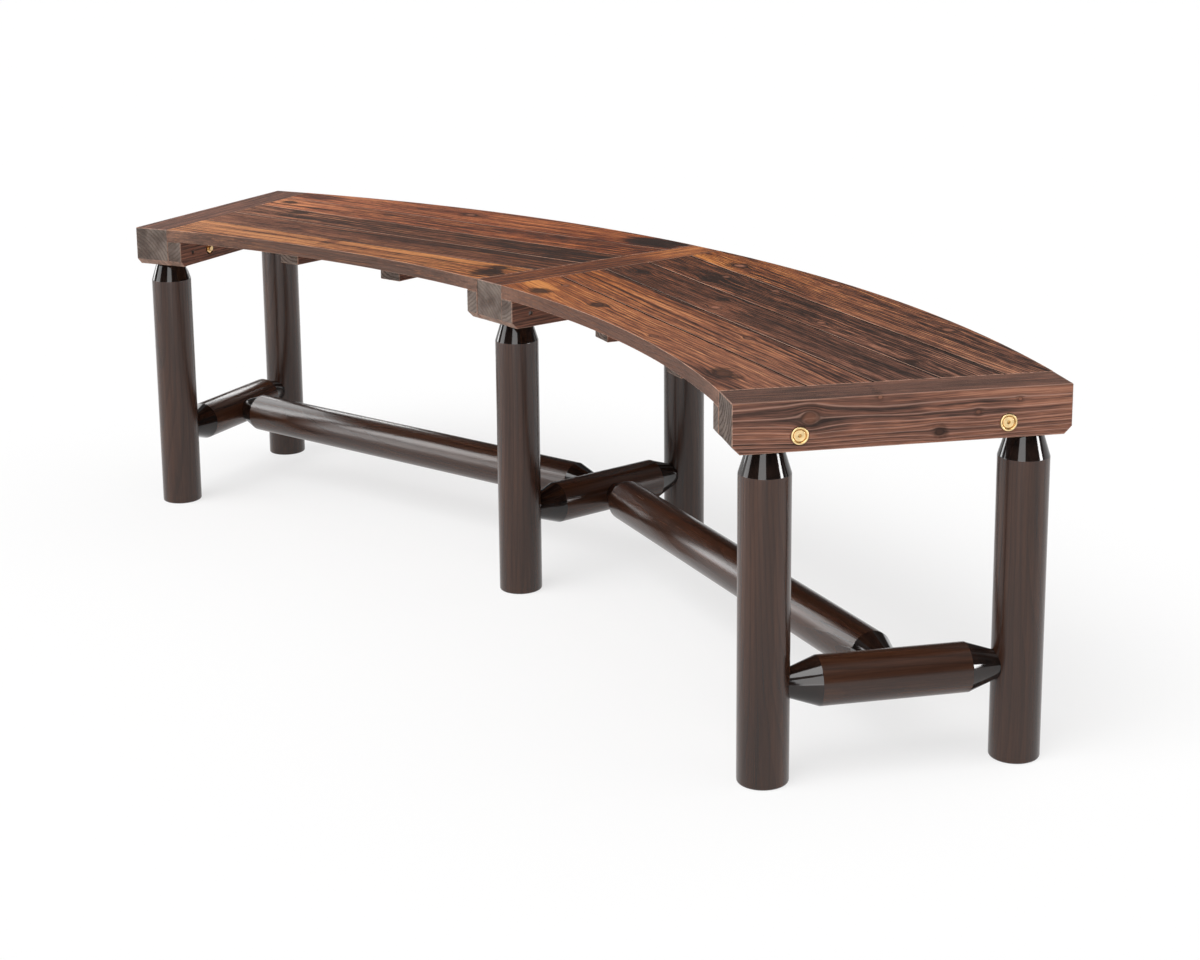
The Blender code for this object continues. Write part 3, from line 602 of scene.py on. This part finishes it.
def make_floor():
    """A pale floor that looks white to the camera and in reflections, but for the bench's shadow."""
    floor = add_to_scene(bpy.data.objects.new("floor", bpy.data.meshes.new("floor")))
    body = bmesh.new()
    bmesh.ops.create_circle(body, cap_ends=True, radius=FLOOR_RADIUS, segments=96)
    body.to_mesh(floor.data)
    body.free()
    material, n, shader = new_material("floor_white")
    shader.inputs["Base Color"].default_value = (*FLOOR_COLOUR, 1.0)
    shader.inputs["Roughness"].default_value = 0.9
    shader.inputs["Specular IOR Level"].default_value = 0.0
    ray = n.add("LightPath").outputs
    seen = n.math("MAXIMUM", n.math("MAXIMUM", ray["Is Camera Ray"], ray["Is Glossy Ray"]),
                  ray["Is Transmission Ray"])
    glow = n.add("Emission")
    mix = n.fill(n.add("MixShader"), n.times(seen, FLOOR_GLOW), shader.outputs[0], glow.outputs[0])
    n.feed(material.node_tree.nodes["Material Output"].inputs["Surface"], mix.outputs[0])
    floor.data.materials.append(material)


def make_world():
    """White round the horizon and below, dark above it, and soft grey overhead."""
    world = bpy.data.worlds.new("studio")
    bpy.context.scene.world = world
    world.use_nodes = True
    n = Nodes(world.node_tree)
    background = world.node_tree.nodes["Background"]
    up = n.split(n.add("TexCoord").outputs["Generated"])[2]
    shade = n.ramp(n.plus(0.5, (up, 0.5)), (0.0, 1.0), (0.530, 1.0), (0.548, 0.05), (0.75, 0.05),
                   (0.95, 0.35), (1.0, 0.35))
    n.feed(background.inputs["Color"], shade)
    background.inputs["Strength"].default_value = 1.0


def make_lamp(kind, name, place, aim, strength, **settings):
    lamp = add_to_scene(bpy.data.objects.new(name, bpy.data.lights.new(name, kind)))
    lamp.data.energy = strength
    for setting, value in settings.items():
        setattr(lamp.data, setting, value)
    lamp.location = place
    lamp.rotation_euler = (Vector(place) - Vector(aim)).to_track_quat("Z", "Y").to_euler()
    return lamp


def make_box(name, place, aim, power, width, height):
    """A soft light that only glossy finishes show."""
    lamp = make_lamp("AREA", name, place, aim, power, shape="RECTANGLE", size=width, size_y=height)
    lamp.visible_diffuse = False
    lamp.visible_camera = False


def towards(azimuth, elevation, distance):
    """A place in a direction from the bench. Azimuth 0 is the front and 90 is the right."""
    azimuth, elevation = math.radians(azimuth), math.radians(elevation)
    level = math.cos(elevation)
    return Vector((math.sin(azimuth) * level, -math.cos(azimuth) * level, math.sin(elevation))) * distance


def make_lights():
    make_lamp("SUN", "key_light", towards(5, 60, 6), (0, 0, 0), 2.5, angle=math.radians(46))
    fill = make_lamp("SUN", "fill_light", towards(150, 60, 6), (0, 0, 0), 0.75, angle=math.radians(60))
    fill.visible_glossy = False
    for name, (azimuth, elevation, width, height, radiance) in BOXES.items():
        power = radiance * math.pi * width * height
        make_box(name, towards(azimuth, elevation, BOX_DISTANCE), BOX_AIM, power, width, height)
    make_box("strip_left_back", (-1.04, 0.225, 0.386), (-0.768, -0.096, 0.114), 0.80, 0.34, 0.12)


def rounded(points, steps=4):
    """A profile whose corners are rounded. Each point is (radius, height, reach of its rounding)."""
    result = []
    for index, (across, height, reach) in enumerate(points):
        if not reach:
            result.append((across, height))
            continue
        corner = Vector((across, height))
        before = (Vector(points[index - 1][:2]) - corner).normalized() * reach
        after = (Vector(points[index + 1][:2]) - corner).normalized() * reach
        for step in range(steps + 1):
            share = step / steps
            result.append(tuple(corner + before * (1 - share) ** 2 + after * share**2))
    return result


def turned(name, profile, steps=TURNED_STEPS):
    """A turned mesh about Z, from its profile of (radius, height) points between two ends on the axis."""
    body = bmesh.new()
    rings = []
    for across, height in profile:
        turns = [2 * math.pi * step / steps for step in range(steps)] if across else [0.0]
        places = [(across * math.cos(turn), across * math.sin(turn), height) for turn in turns]
        rings.append([body.verts.new(place) for place in places])
    for lower, upper in zip(rings, rings[1:]):
        for step in range(steps):
            following = (step + 1) % steps
            if len(lower) == 1:
                body.faces.new((lower[0], upper[following], upper[step]))
            elif len(upper) == 1:
                body.faces.new((lower[step], lower[following], upper[0]))
            else:
                body.faces.new((lower[step], lower[following], upper[following], upper[step]))
    bmesh.ops.recalc_face_normals(body, faces=body.faces)
    mesh = bpy.data.meshes.new(name)
    body.to_mesh(mesh)
    body.free()
    smooth(mesh)
    return mesh


def smooth(mesh):
    mesh.shade_smooth()
    mesh.set_sharp_from_angle(angle=math.radians(35))


def put(name, mesh, matrix):
    piece = add_to_scene(bpy.data.objects.new(name, mesh))
    piece.matrix_world = matrix
    return piece


def cut(piece, *shapes):
    """Cut shapes, each a mesh and its matrix, out of a piece."""
    cutters = [put("cutter", mesh, matrix) for mesh, matrix in shapes]
    for cutter in cutters:
        modifier = piece.modifiers.new("cut", "BOOLEAN")
        modifier.object = cutter
        modifier.solver = "EXACT"
    bpy.context.view_layer.update()
    whole = piece.evaluated_get(bpy.context.evaluated_depsgraph_get())
    mesh = bpy.data.meshes.new_from_object(whole)
    piece.modifiers.clear()
    piece.data = mesh
    smooth(mesh)
    for cutter in cutters:
        bpy.data.objects.remove(cutter)


def cut_mesh(mesh, *shapes):
    """A mesh with shapes cut out of it."""
    piece = put("shaped", mesh, Matrix.Identity(4))
    cut(piece, *shapes)
    result = piece.data
    bpy.data.objects.remove(piece)
    return result


def dress(mesh, *materials):
    """Give a mesh these materials and no others."""
    mesh.materials.clear()
    for material in materials:
        mesh.materials.append(material)


def stand_for(piece, node):
    """Let a piece take a node's place on the bench."""
    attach(piece, "root")
    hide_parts(node)


def beside_rail(y, from_rail):
    """Distance from a half's middle line, at y along it, of a line that runs beside a rail."""
    return (y * math.sin(MIDDLE_ANGLE) - from_rail) / math.cos(MIDDLE_ANGLE)


def slat_edges(number):
    """Distances of a slat's straight edges from the ring's centre."""
    front = INNER_RADIUS + FRONT_SLAT_LEAST_WIDTH
    corner = MIDDLE_ANGLE - math.asin((RAIL_THICKNESS / 2 + SLAT_END_GAP) / OUTER_RADIUS)
    back = OUTER_RADIUS * math.cos(corner) - BACK_SLAT_LEAST_WIDTH
    pitch = (back - front - SLAT_GAP) / (SLATS_IN_HALF - 2)
    start = front + SLAT_GAP + (number - 2) * pitch
    return start, start + pitch - SLAT_GAP


def slat_edges_at(number, x):
    """The same at x from the middle line, with the arcs of the outer slats."""
    front, back = slat_edges(number)
    if number == 1:
        front = math.sqrt(INNER_RADIUS**2 - x**2)
    if number == SLATS_IN_HALF:
        back = math.sqrt(OUTER_RADIUS**2 - x**2)
    return front, back


def slat_outline(number):
    """Corner points of a slat seen from above, in its half's frame, with an arc in short steps."""
    front, back = slat_edges(number)
    beside = RAIL_THICKNESS / 2 + SLAT_END_GAP
    points = []
    for radius, straight, way in ((INNER_RADIUS, front, 1), (OUTER_RADIUS, back, -1)):
        if number == (1 if way == 1 else SLATS_IN_HALF):
            reach = MIDDLE_ANGLE - math.asin(beside / radius)
            turns = [reach * (2 * step / ARC_STEPS - 1) * way for step in range(ARC_STEPS + 1)]
            points += [(radius * math.sin(turn), radius * math.cos(turn)) for turn in turns]
        else:
            x = beside_rail(straight, beside)
            points += [(-x * way, straight), (x * way, straight)]
    return points


def slat_mesh(name, number, half):
    """A slat with finely rounded edges."""
    body = bmesh.new()
    outline = slat_outline(number)
    low, high = [[body.verts.new((x, y, z)) for x, y in outline] for z in (SLAT_BOTTOM, SEAT_TOP)]
    body.faces.new(low[::-1])
    body.faces.new(high)
    for index in range(len(low)):
        following = (index + 1) % len(low)
        body.faces.new((low[index], low[following], high[following], high[index]))
    body.normal_update()
    edges = [edge for edge in body.edges if edge.calc_face_angle() > math.radians(30)]
    bmesh.ops.bevel(body, geom=edges, offset=SLAT_ROUNDING, segments=3, profile=0.5, affect="EDGES")
    body.transform(half)
    mesh = bpy.data.meshes.new(name)
    body.to_mesh(mesh)
    body.free()
    return mesh


def screw_places(number):
    """Places (x, y, name) of a slat's screws in its half's frame: one at each end, one at each batten."""
    start, end = slat_edges(number)
    front, back = slat_edges_at(number, beside_rail((start + end) / 2, CLEAT_MIDDLE))
    y = front + CLEAT_SCREW_SLAT_SHARES[number - 1] * (back - front)
    x = beside_rail(y, CLEAT_MIDDLE)
    middle = sum(slat_edges_at(number, BATTEN_FROM_MIDDLE_LINE)) / 2
    return ((-x, y, "cleat_left"), (x, y, "cleat_right"), (-BATTEN_FROM_MIDDLE_LINE, middle, "batten_left"),
            (BATTEN_FROM_MIDDLE_LINE, middle, "batten_right"))


# Looks of the slats. Places are along and across a half, from its middle line and the front edge's arc.
# Walls are the share and the colour of the cover on a slat's long sides; in a gap that cover is painted
# shade.
# Saturation at a half's two ends; the lower one paints a sheen.
SATURATION_WITH_SHEEN = {"left": (0.93, 1.02), "right": (1.05, 0.84)}
EDGE_DARKENING = {"left": -0.40, "right": -0.10}
OPEN_WALL = (1.2, SAWN_EDGE)
SHADED_GAP_SIDE = (4.0, PAINTED_GAP_SHADE)
SLATS = {
    ("right", 1): dict(
        tone=0.585, slope=-0.12, pith=(-0.03, -0.04), contrast=0.72,
        knots=((-0.148, 0.0325, 0.008, 1.0, 0.15), (-0.280, 0.0425, 0.006, 0.2, 0.6),
               (-0.265, -0.002, 0.008, 1.0, 0.1), (0.0475, 0.0175, 0.006, 0.2, 0.4),
               (0.255, 0.006, 0.011, 1.0, 0.2)),
        stains=((-0.30, 0.012, 0.09, 0.030, 0.40), (0.27, -0.010, 0.20, 0.03, -0.25))),
    ("right", 2): dict(
        tone=0.51, slope=0.04, pith=(0.10, -0.03), contrast=0.9, knots=((0.110, 0.115, 0.006, 0.3, 0.5),),
        stains=((-0.12, 0.132, 0.56, 0.014, -0.30), (0.30, 0.105, 0.16, 0.018, -0.28),
                (-0.17, 0.104, 0.46, 0.022, 0.22), (0.25, 0.125, 0.3, 0.02, -0.15))),
    ("right", 3): dict(
        palette=SMOKED, tone=0.235, slope=0.10, pith=(0.25, -0.05), contrast=0.9,
        knots=((-0.065, 0.160, 0.008, 0.2, 0.9), (-0.320, 0.1775, 0.010, 0.9, 0.0),
               (-0.105, 0.195, 0.007, 0.9, 0.0)),
        stains=((0.20, 0.190, 0.5, 0.030, -0.15), (-0.07, 0.180, 0.09, 0.04, 0.18),
                (0.1, 0.152, 0.7, 0.012, 0.12))),
    ("right", 4): dict(
        palette=SMOKED, tone=0.165, slope=0.12, pith=(0.15, -0.05), contrast=1.25,
        knots=((-0.235, 0.265, 0.006, 0.1, 0.8), (-0.230, 0.2425, 0.011, 1.0, 0.0),
               (0.075, 0.2375, 0.006, 0.1, 0.8), (-0.120, 0.280, 0.006, 0.1, 0.6),
               (0.300, 0.2275, 0.007, 0.8, 0.0)),
        stains=((-0.35, 0.270, 0.16, 0.05, 0.20), (0.34, 0.262, 0.16, 0.03, 0.25),
                (0.20, 0.225, 0.5, 0.014, 0.18), (-0.20, 0.222, 0.5, 0.012, 0.12))),
    ("right", 5): dict(
        tone=0.45, slope=-0.04, pith=(0.26, -0.05), contrast=1.15,
        knots=((-0.2975, 0.320, 0.009, 1.0, 1.0), (-0.120, 0.3725, 0.006, 0.1, 1.0),
               (0.180, 0.3575, 0.008, 0.8, 0.8)),
        stains=((-0.35, 0.306, 0.20, 0.035, 0.35), (0.26, 0.350, 0.40, 0.05, -0.18),
                (0.28, 0.308, 0.34, 0.018, 0.24), (-0.15, 0.345, 0.5, 0.03, 0.06))),
    ("left", 1): dict(
        tone=0.755, slope=-0.44, pith=(-0.03, -0.05), contrast=1.5, streaky=1.5,
        knots=((0.2925, 0.045, 0.008, 1.0, 0.1), (0.305, 0.006, 0.012, 1.0, 0.0),
               (0.298, 0.026, 0.007, 1.0, 0.0)),
        stains=((-0.25, 0.050, 0.45, 0.022, 0.15), (0.13, 0.050, 0.40, 0.018, 0.25),
                (0.0, 0.034, 0.9, 0.007, -0.45), (-0.045, 0.045, 0.028, 0.07, -0.28))),
    ("left", 2): dict(
        palette=SMOKED, tone=0.30, slope=-0.26, pith=(0.17, -0.05), contrast=1.2, streaky=1.0,
        stains=((0.13, 0.122, 0.46, 0.030, -0.28), (-0.33, 0.080, 0.16, 0.04, 0.18),
                (0.1, 0.082, 0.6, 0.016, 0.14))),
    ("left", 3): dict(
        palette=SMOKED, tone=0.195, slope=-0.34, pith=(0.10, -0.05), contrast=1.5, streaky=1.5,
        knots=((-0.275, 0.200, 0.010, 1.0, 0.0),),
        stains=((0.23, 0.190, 0.32, 0.045, -0.25), (-0.34, 0.160, 0.16, 0.04, 0.12),
                (-0.15, 0.170, 0.4, 0.012, -0.15))),
    ("left", 4): dict(
        palette=RUSSET, tone=0.39, slope=-0.32, pith=(0.33, -0.05), contrast=1.5, streaky=1.5,
        knots=((-0.360, 0.262, 0.008, 1.0, 0.1), (-0.14, 0.265, 0.006, 0.6, 0.2)),
        stains=((-0.33, 0.262, 0.22, 0.045, 0.38), (-0.35, 0.228, 0.16, 0.016, 0.45),
                (0.25, 0.245, 0.5, 0.016, 0.18), (-0.30, 0.240, 0.3, 0.008, -0.4))),
    ("left", 5): dict(
        palette=RUSSET, tone=0.48, slope=-0.04, pith=(0.26, -0.05), contrast=1.3, streaky=1.1,
        knots=((-0.035, 0.3475, 0.008, 0.8, 0.9),),
        stains=((0.355, 0.335, 0.14, 0.08, -0.90), (0.135, 0.355, 0.30, 0.035, 0.25),
                (-0.365, 0.330, 0.14, 0.05, -0.30), (-0.22, 0.365, 0.2, 0.02, 0.2),
                (0.12, 0.318, 0.3, 0.012, 0.2))),
}


def make_slats():
    """The seat's slats, with pilot holes for the screws from below."""
    hole = turned("pilot_hole", [(0, -OVERRUN), (SCREW_RADIUS, -OVERRUN), (SCREW_RADIUS, SCREW_IN_SLAT),
                                 (0, SCREW_IN_SLAT)], 12)
    for side, half in HALF_FRAMES.items():
        place = grain_frame(f"half_{side}", half @ Matrix.Translation((0, INNER_RADIUS, SEAT_TOP)))
        for number in range(1, SLATS_IN_HALF + 1):
            node = f"seat_slat_{side}_{number}"
            piece = put(f"slat_{side}_{number}", slat_mesh(node, number, half), Matrix.Identity(4))
            spots = [half @ Matrix.Translation((x, y, SLAT_BOTTOM)) for x, y, _ in screw_places(number)]
            cut(piece, *[(hole, spot) for spot in spots])
            # Only the roundings are shaded smooth.
            for face in piece.data.polygons:
                face.use_smooth = 0.05 < abs(face.normal.z) < 0.999
            # In a gap, a slat's sides and its ends are painted with shade.
            walls = [OPEN_WALL if number == outer else SHADED_GAP_SIDE for outer in (1, SLATS_IN_HALF)]
            seed = number + (10 if side == "left" else 0)
            wood = fir(f"fir_{side}_{number}", place, seed=seed, ends=(PAINTED_GAP_SHADE, CHAR), wear_and_highlight=0.85, lines=0.6,
                       saturation_with_sheen=SATURATION_WITH_SHEEN[side], sides=walls, cap=EDGE_DARKENING[side], **SLATS[side, number])
            dress(piece.data, wood)
            stand_for(piece, node)


# Looks of the rails, cleats and battens, with places along and across the face in their grain frame.
CLEATS = {"centre_cleat_left": "centre", "centre_cleat_right": "centre", "end_cleat_left": "left",
          "end_cleat_right": "right"}
RAIL_RIGHT = dict(
    seed=31, tone=0.58, slope=0.26, pith=(0.012, -0.080), pitch=0.0027, relief=0.0008, wear_and_highlight=0.45, crest=0.62,
    contrast=0.65, lines=0.4, unbroken=0.25, cap=-0.32, end_lines=1.0, end_pitch=0.0075, palette=ROSY,
    knots=((0.087, -0.021, 0.0085, 0.4, 0.55), (0.281, -0.026, 0.0028, 0.4, 0.5),
           (0.236, -0.046, 0.004, 0.8, 0.1), (0.330, -0.014, 0.0025, 0.3, 0.8),
           (0.167, -0.0025, 0.0025, 0.3, 0.8)),
    stains=((0.13, -0.010, 0.36, 0.024, -0.27), (0.28, -0.018, 0.14, 0.018, -0.22),
            (0.25, -0.014, 0.08, 0.012, 0.40), (0.108, -0.028, 0.05, 0.020, -0.22),
            (0.20, -0.052, 0.70, 0.034, -0.12)))
RAIL_LEFT = dict(seed=41, tone=0.38, pith=(0.05, -0.08), contrast=0.8, wear_and_highlight=0.4, end_lines=0.52, palette=ROSY)
RAIL_CENTRE = dict(seed=43, tone=0.32, pith=(0.06, -0.10), contrast=0.9, wear_and_highlight=0.4, end_lines=0.35,
                   stains=((0.34, 0.0, 0.16, 0.08, 0.30),))
CLEAT = dict(tone=0.46, pith=(0.02, -0.05), pitch=0.004, contrast=0.6, relief=0.0004, wear_and_highlight=0.4,
             end_lines=0.5, palette=ROSY)
BATTEN = dict(tone=0.45, pith=(0.01, -0.04), pitch=0.0035, contrast=0.7, palette=ROSY)
RAIL_LOOKS = {
    "end_rail_right": ("right", RAIL_THICKNESS / 2, RAIL_SIDE_GRAIN, RAIL_RIGHT),
    "end_rail_left": ("left", 0, RAIL_TOP_GRAIN, RAIL_LEFT),
    "centre_rail": ("centre", 0, RAIL_TOP_GRAIN, RAIL_CENTRE),
}


def dress_rails():
    """Fir on the rails, cleats and battens, whose CAD meshes stay."""

    def dress_node(node, place, look, **more):
        face = grain_frame(node, place)
        dress(NODES[node].data, fir(f"fir_{node}", face, **look, **more))

    for node, (where, x, turn, look) in RAIL_LOOKS.items():
        dress_node(node, RAIL_FRAMES[where] @ Matrix.Translation((x, INNER_RADIUS, SEAT_TOP)) @ turn, look)
    for number, (node, where) in enumerate(CLEATS.items()):
        _, high = local_box(node, RAIL_FRAMES[where])
        place = RAIL_FRAMES[where] @ Matrix.Translation((high.x, INNER_RADIUS, SEAT_TOP)) @ RAIL_SIDE_GRAIN
        dress_node(node, place, CLEAT, seed=51 + number)
    for number, side in enumerate(SIDES):
        for where in ("inner", "outer"):
            node = f"batten_{side}_{where}"
            low, high = local_box(node, HALF_FRAMES[side])
            middle = Matrix.Translation(((low.x + high.x) / 2, INNER_RADIUS, low.z))
            seed = 61 + number * 2 + (where == "inner")
            dress_node(node, HALF_FRAMES[side] @ middle @ BATTEN_GRAIN, BATTEN, seed=seed)


def leg_profile():
    top = RAIL_BOTTOM + LEG_TENON_LENGTH
    shoulder = RAIL_BOTTOM - FIT
    return rounded((
        (0, 0, 0), (LEG_RADIUS, 0, FOOT_ROUNDING), (LEG_RADIUS, shoulder - LEG_CONE_HEIGHT, CONE_EASING),
        (LEG_NECK_RADIUS, shoulder, 0), (LEG_TENON_RADIUS, shoulder, 0),
        (LEG_TENON_RADIUS, top - TENON_CHAMFER, 0), (LEG_TENON_RADIUS - TENON_CHAMFER, top, 0), (0, top, 0)))


def stretcher_profiles(span, host_radius):
    """Profiles of a stretcher between two hosts whose axes are a span apart, and of its mortises."""
    tip = span / 2 - STRETCHER_TENON_FROM_AXIS
    surface = span / 2 - host_radius
    ring = surface - STRETCHER_CONE_LENGTH
    slope = (STRETCHER_RADIUS - STRETCHER_NECK_RADIUS) / STRETCHER_CONE_LENGTH
    cone_end = surface + (STRETCHER_NECK_RADIUS - STRETCHER_TENON_RADIUS) / slope
    tenon = STRETCHER_TENON_RADIUS
    body = ((STRETCHER_RADIUS, ring, CONE_EASING), (tenon, cone_end, 0), (tenon, tip - TENON_CHAMFER, 0),
            (tenon - TENON_CHAMFER, tip, 0), (0, tip, 0))
    mortise = ((STRETCHER_RADIUS + FIT, ring, 0), (tenon + FIT, cone_end, 0), (tenon + FIT, tip + FIT, 0),
               (0, tip + FIT, 0))
    result = []
    for upper in (body, mortise):
        lower = [(across, -height, reach) for across, height, reach in reversed(upper)]
        result.append(rounded(lower + list(upper)))
    return result


def finish_turned(piece, node, cone_from, seed):
    """Give a turned piece its varnish and its cones their lacquer, and let it stand for its node."""
    axis = grain_frame(node, piece.matrix_world @ TURNED_GRAIN)
    dress(piece.data, varnished(f"varnish_{node}", axis, seed), LACQUER)
    for face in piece.data.polygons:
        face.material_index = 1 if abs(face.center.z) > cone_from else 0
    stand_for(piece, node)


def make_turned_pieces():
    span = LEGS_FROM_CENTRE["back"] - LEGS_FROM_CENTRE["front"]
    from_centre = INNER_RADIUS + LONG_STRETCHER_FROM_FRONT
    long_span = 2 * from_centre * math.sin(MIDDLE_ANGLE)
    long_middle = from_centre * math.cos(MIDDLE_ANGLE)
    cross_profile, cross_mortise = stretcher_profiles(span, LEG_RADIUS)
    long_profile, long_mortise = stretcher_profiles(long_span, STRETCHER_RADIUS)
    leg = turned("leg", leg_profile())
    cross = turned("cross_stretcher", cross_profile)
    cross_cutter = turned("cross_stretcher_mortise", cross_mortise)
    long = turned("long_stretcher", long_profile)
    long_cutter = turned("long_stretcher_mortise", long_mortise)
    along_rail = Matrix.Rotation(-math.pi / 2, 4, "X")
    along_slats = Matrix.Rotation(math.pi / 2, 4, "Y")
    long_places = {side: place @ Matrix.Translation((0, long_middle, STRETCHER_HEIGHT)) @ along_slats
                   for side, place in HALF_FRAMES.items()}
    leg_cone = RAIL_BOTTOM - FIT - LEG_CONE_HEIGHT
    cross_cone = span / 2 - LEG_RADIUS - STRETCHER_CONE_LENGTH
    long_cone = long_span / 2 - STRETCHER_RADIUS - STRETCHER_CONE_LENGTH
    between_legs = Matrix.Translation((0, LEGS_FROM_CENTRE["front"] + span / 2, STRETCHER_HEIGHT))
    seed = 0
    for where in RAILS:
        cross_place = RAIL_FRAMES[where] @ between_legs @ along_rail
        for row in ROWS:
            seed += 1
            place = RAIL_FRAMES[where] @ Matrix.Translation((0, LEGS_FROM_CENTRE[row], 0))
            piece = put(f"turned_leg_{row}_{where}", leg, place)
            cut(piece, (cross_cutter, cross_place))
            finish_turned(piece, f"leg_{row}_{where}", leg_cone, seed)
        piece = put(f"turned_cross_stretcher_{where}", cross, cross_place)
        sides = SIDES if where == "centre" else [where]
        cut(piece, *[(long_cutter, long_places[side]) for side in sides])
        finish_turned(piece, f"cross_stretcher_{where}", cross_cone, seed + 20)
    for side, place in long_places.items():
        seed += 1
        piece = put(f"turned_long_stretcher_{side}", long.copy(), place)
        finish_turned(piece, f"long_stretcher_{side}", long_cone, seed + 30)


def bolt_mesh():
    """A bolt whose head has a raised rim, a groove inside it and a hexagonal socket in its middle."""
    profile = rounded((
        (0, BOLT_END, 0), (BOLT_RADIUS, BOLT_END, 0.0005), (BOLT_RADIUS, BOLT_SEAT, 0.0),
        (BOLT_HEAD_RADIUS, BOLT_SEAT, 0.0003), (BOLT_HEAD_RADIUS, BOLT_TOP, 0.0007),
        (BOLT_RIM_RADIUS, BOLT_TOP, 0.0006), (BOLT_RIM_RADIUS - 0.0004, BOLT_GROOVE, 0.0004),
        (BOLT_BOSS_RADIUS + 0.0005, BOLT_GROOVE, 0.0003), (BOLT_BOSS_RADIUS, BOLT_MIDDLE, 0.0004),
        (0, BOLT_MIDDLE, 0)))
    corner = SOCKET_WIDTH / 2 / math.cos(math.pi / 6)
    socket = turned("bolt_socket", [(0, SOCKET_BOTTOM), (corner, SOCKET_BOTTOM), (corner, BOLT_TOP),
                                    (0, BOLT_TOP)], 6)
    return cut_mesh(turned("rail_bolt", profile), (socket, Matrix.Identity(4)))


def make_bolts():
    """The rails' bolts, and finishes for their nuts and washers and for the screws beside the legs."""
    bolt = bolt_mesh()
    dress(bolt, BRASS)
    rows = {"front": LEGS_FROM_CENTRE["front"] + BOLT_FROM_LEG,
            "back": LEGS_FROM_CENTRE["back"] - BOLT_FROM_LEG}
    for side, sign in SIDES.items():
        outwards = Matrix.Rotation(sign * math.pi / 2, 4, "Y")
        for row, y in rows.items():
            place = RAIL_FRAMES[side] @ Matrix.Translation((sign * RAIL_THICKNESS / 2, y, BOLT_HEIGHT))
            piece = put(f"bolt_{side}_{row}", bolt, place @ outwards)
            stand_for(piece, f"rail_bolt_{side}_{row}")
            dress(NODES[f"rail_nut_{side}_{row}"].data, NUT_BRASS)
            dress(NODES[f"rail_washer_{side}_{row}"].data, STEEL)
            dress(NODES[f"leg_lock_screw_{side}_{row}"].data, BLACKENED)
            dress(NODES[f"leg_lock_screw_centre_{side}_{row}"].data, BLACKENED)


def wood_screw(name, length):
    """A countersunk wood screw with a cross recess. It stands on its head."""
    profile = [(0, 0), (SCREW_HEAD_RADIUS, 0), (SCREW_RADIUS, SCREW_HEAD_HEIGHT)]
    height = SCREW_HEAD_HEIGHT
    while height < length - SCREW_POINT:
        profile += [(SCREW_RADIUS, height + 0.0004), (SCREW_RADIUS * 0.7, height + 0.0010)]
        height += SCREW_PITCH
    profile += [(0, length)]
    arm = turned("recess_arm", [(0, -OVERRUN), (0.0024, -OVERRUN), (0.0016, 0.0016), (0, 0.0022)], 4)
    for vertex in arm.vertices:
        vertex.co.y *= 0.28
    screw = cut_mesh(turned(name, profile, 20), (arm, Matrix.Identity(4)),
                     (arm, Matrix.Rotation(math.pi / 2, 4, "Z")))
    dress(screw, STEEL)
    return screw


def make_wood_screws():
    long = wood_screw("cleat_screw", SLAT_BOTTOM + SCREW_IN_SLAT - RAIL_BOTTOM)
    short = wood_screw("batten_screw", SLAT_BOTTOM + SCREW_IN_SLAT - BATTEN_BOTTOM)
    for side, place in HALF_FRAMES.items():
        for number in range(1, SLATS_IN_HALF + 1):
            for x, y, name in screw_places(number):
                kind, bottom = (long, RAIL_BOTTOM) if name.startswith("cleat") else (short, BATTEN_BOTTOM)
                screw = put(f"{name}_screw_{side}_{number}", kind, place @ Matrix.Translation((x, y, bottom)))
                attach(screw, "root")


make_camera()
make_world()
make_floor()
make_lights()
make_slats()
dress_rails()
make_turned_pieces()
make_bolts()
make_wood_screws()

bpy.context.scene.view_settings.view_transform = "Standard"
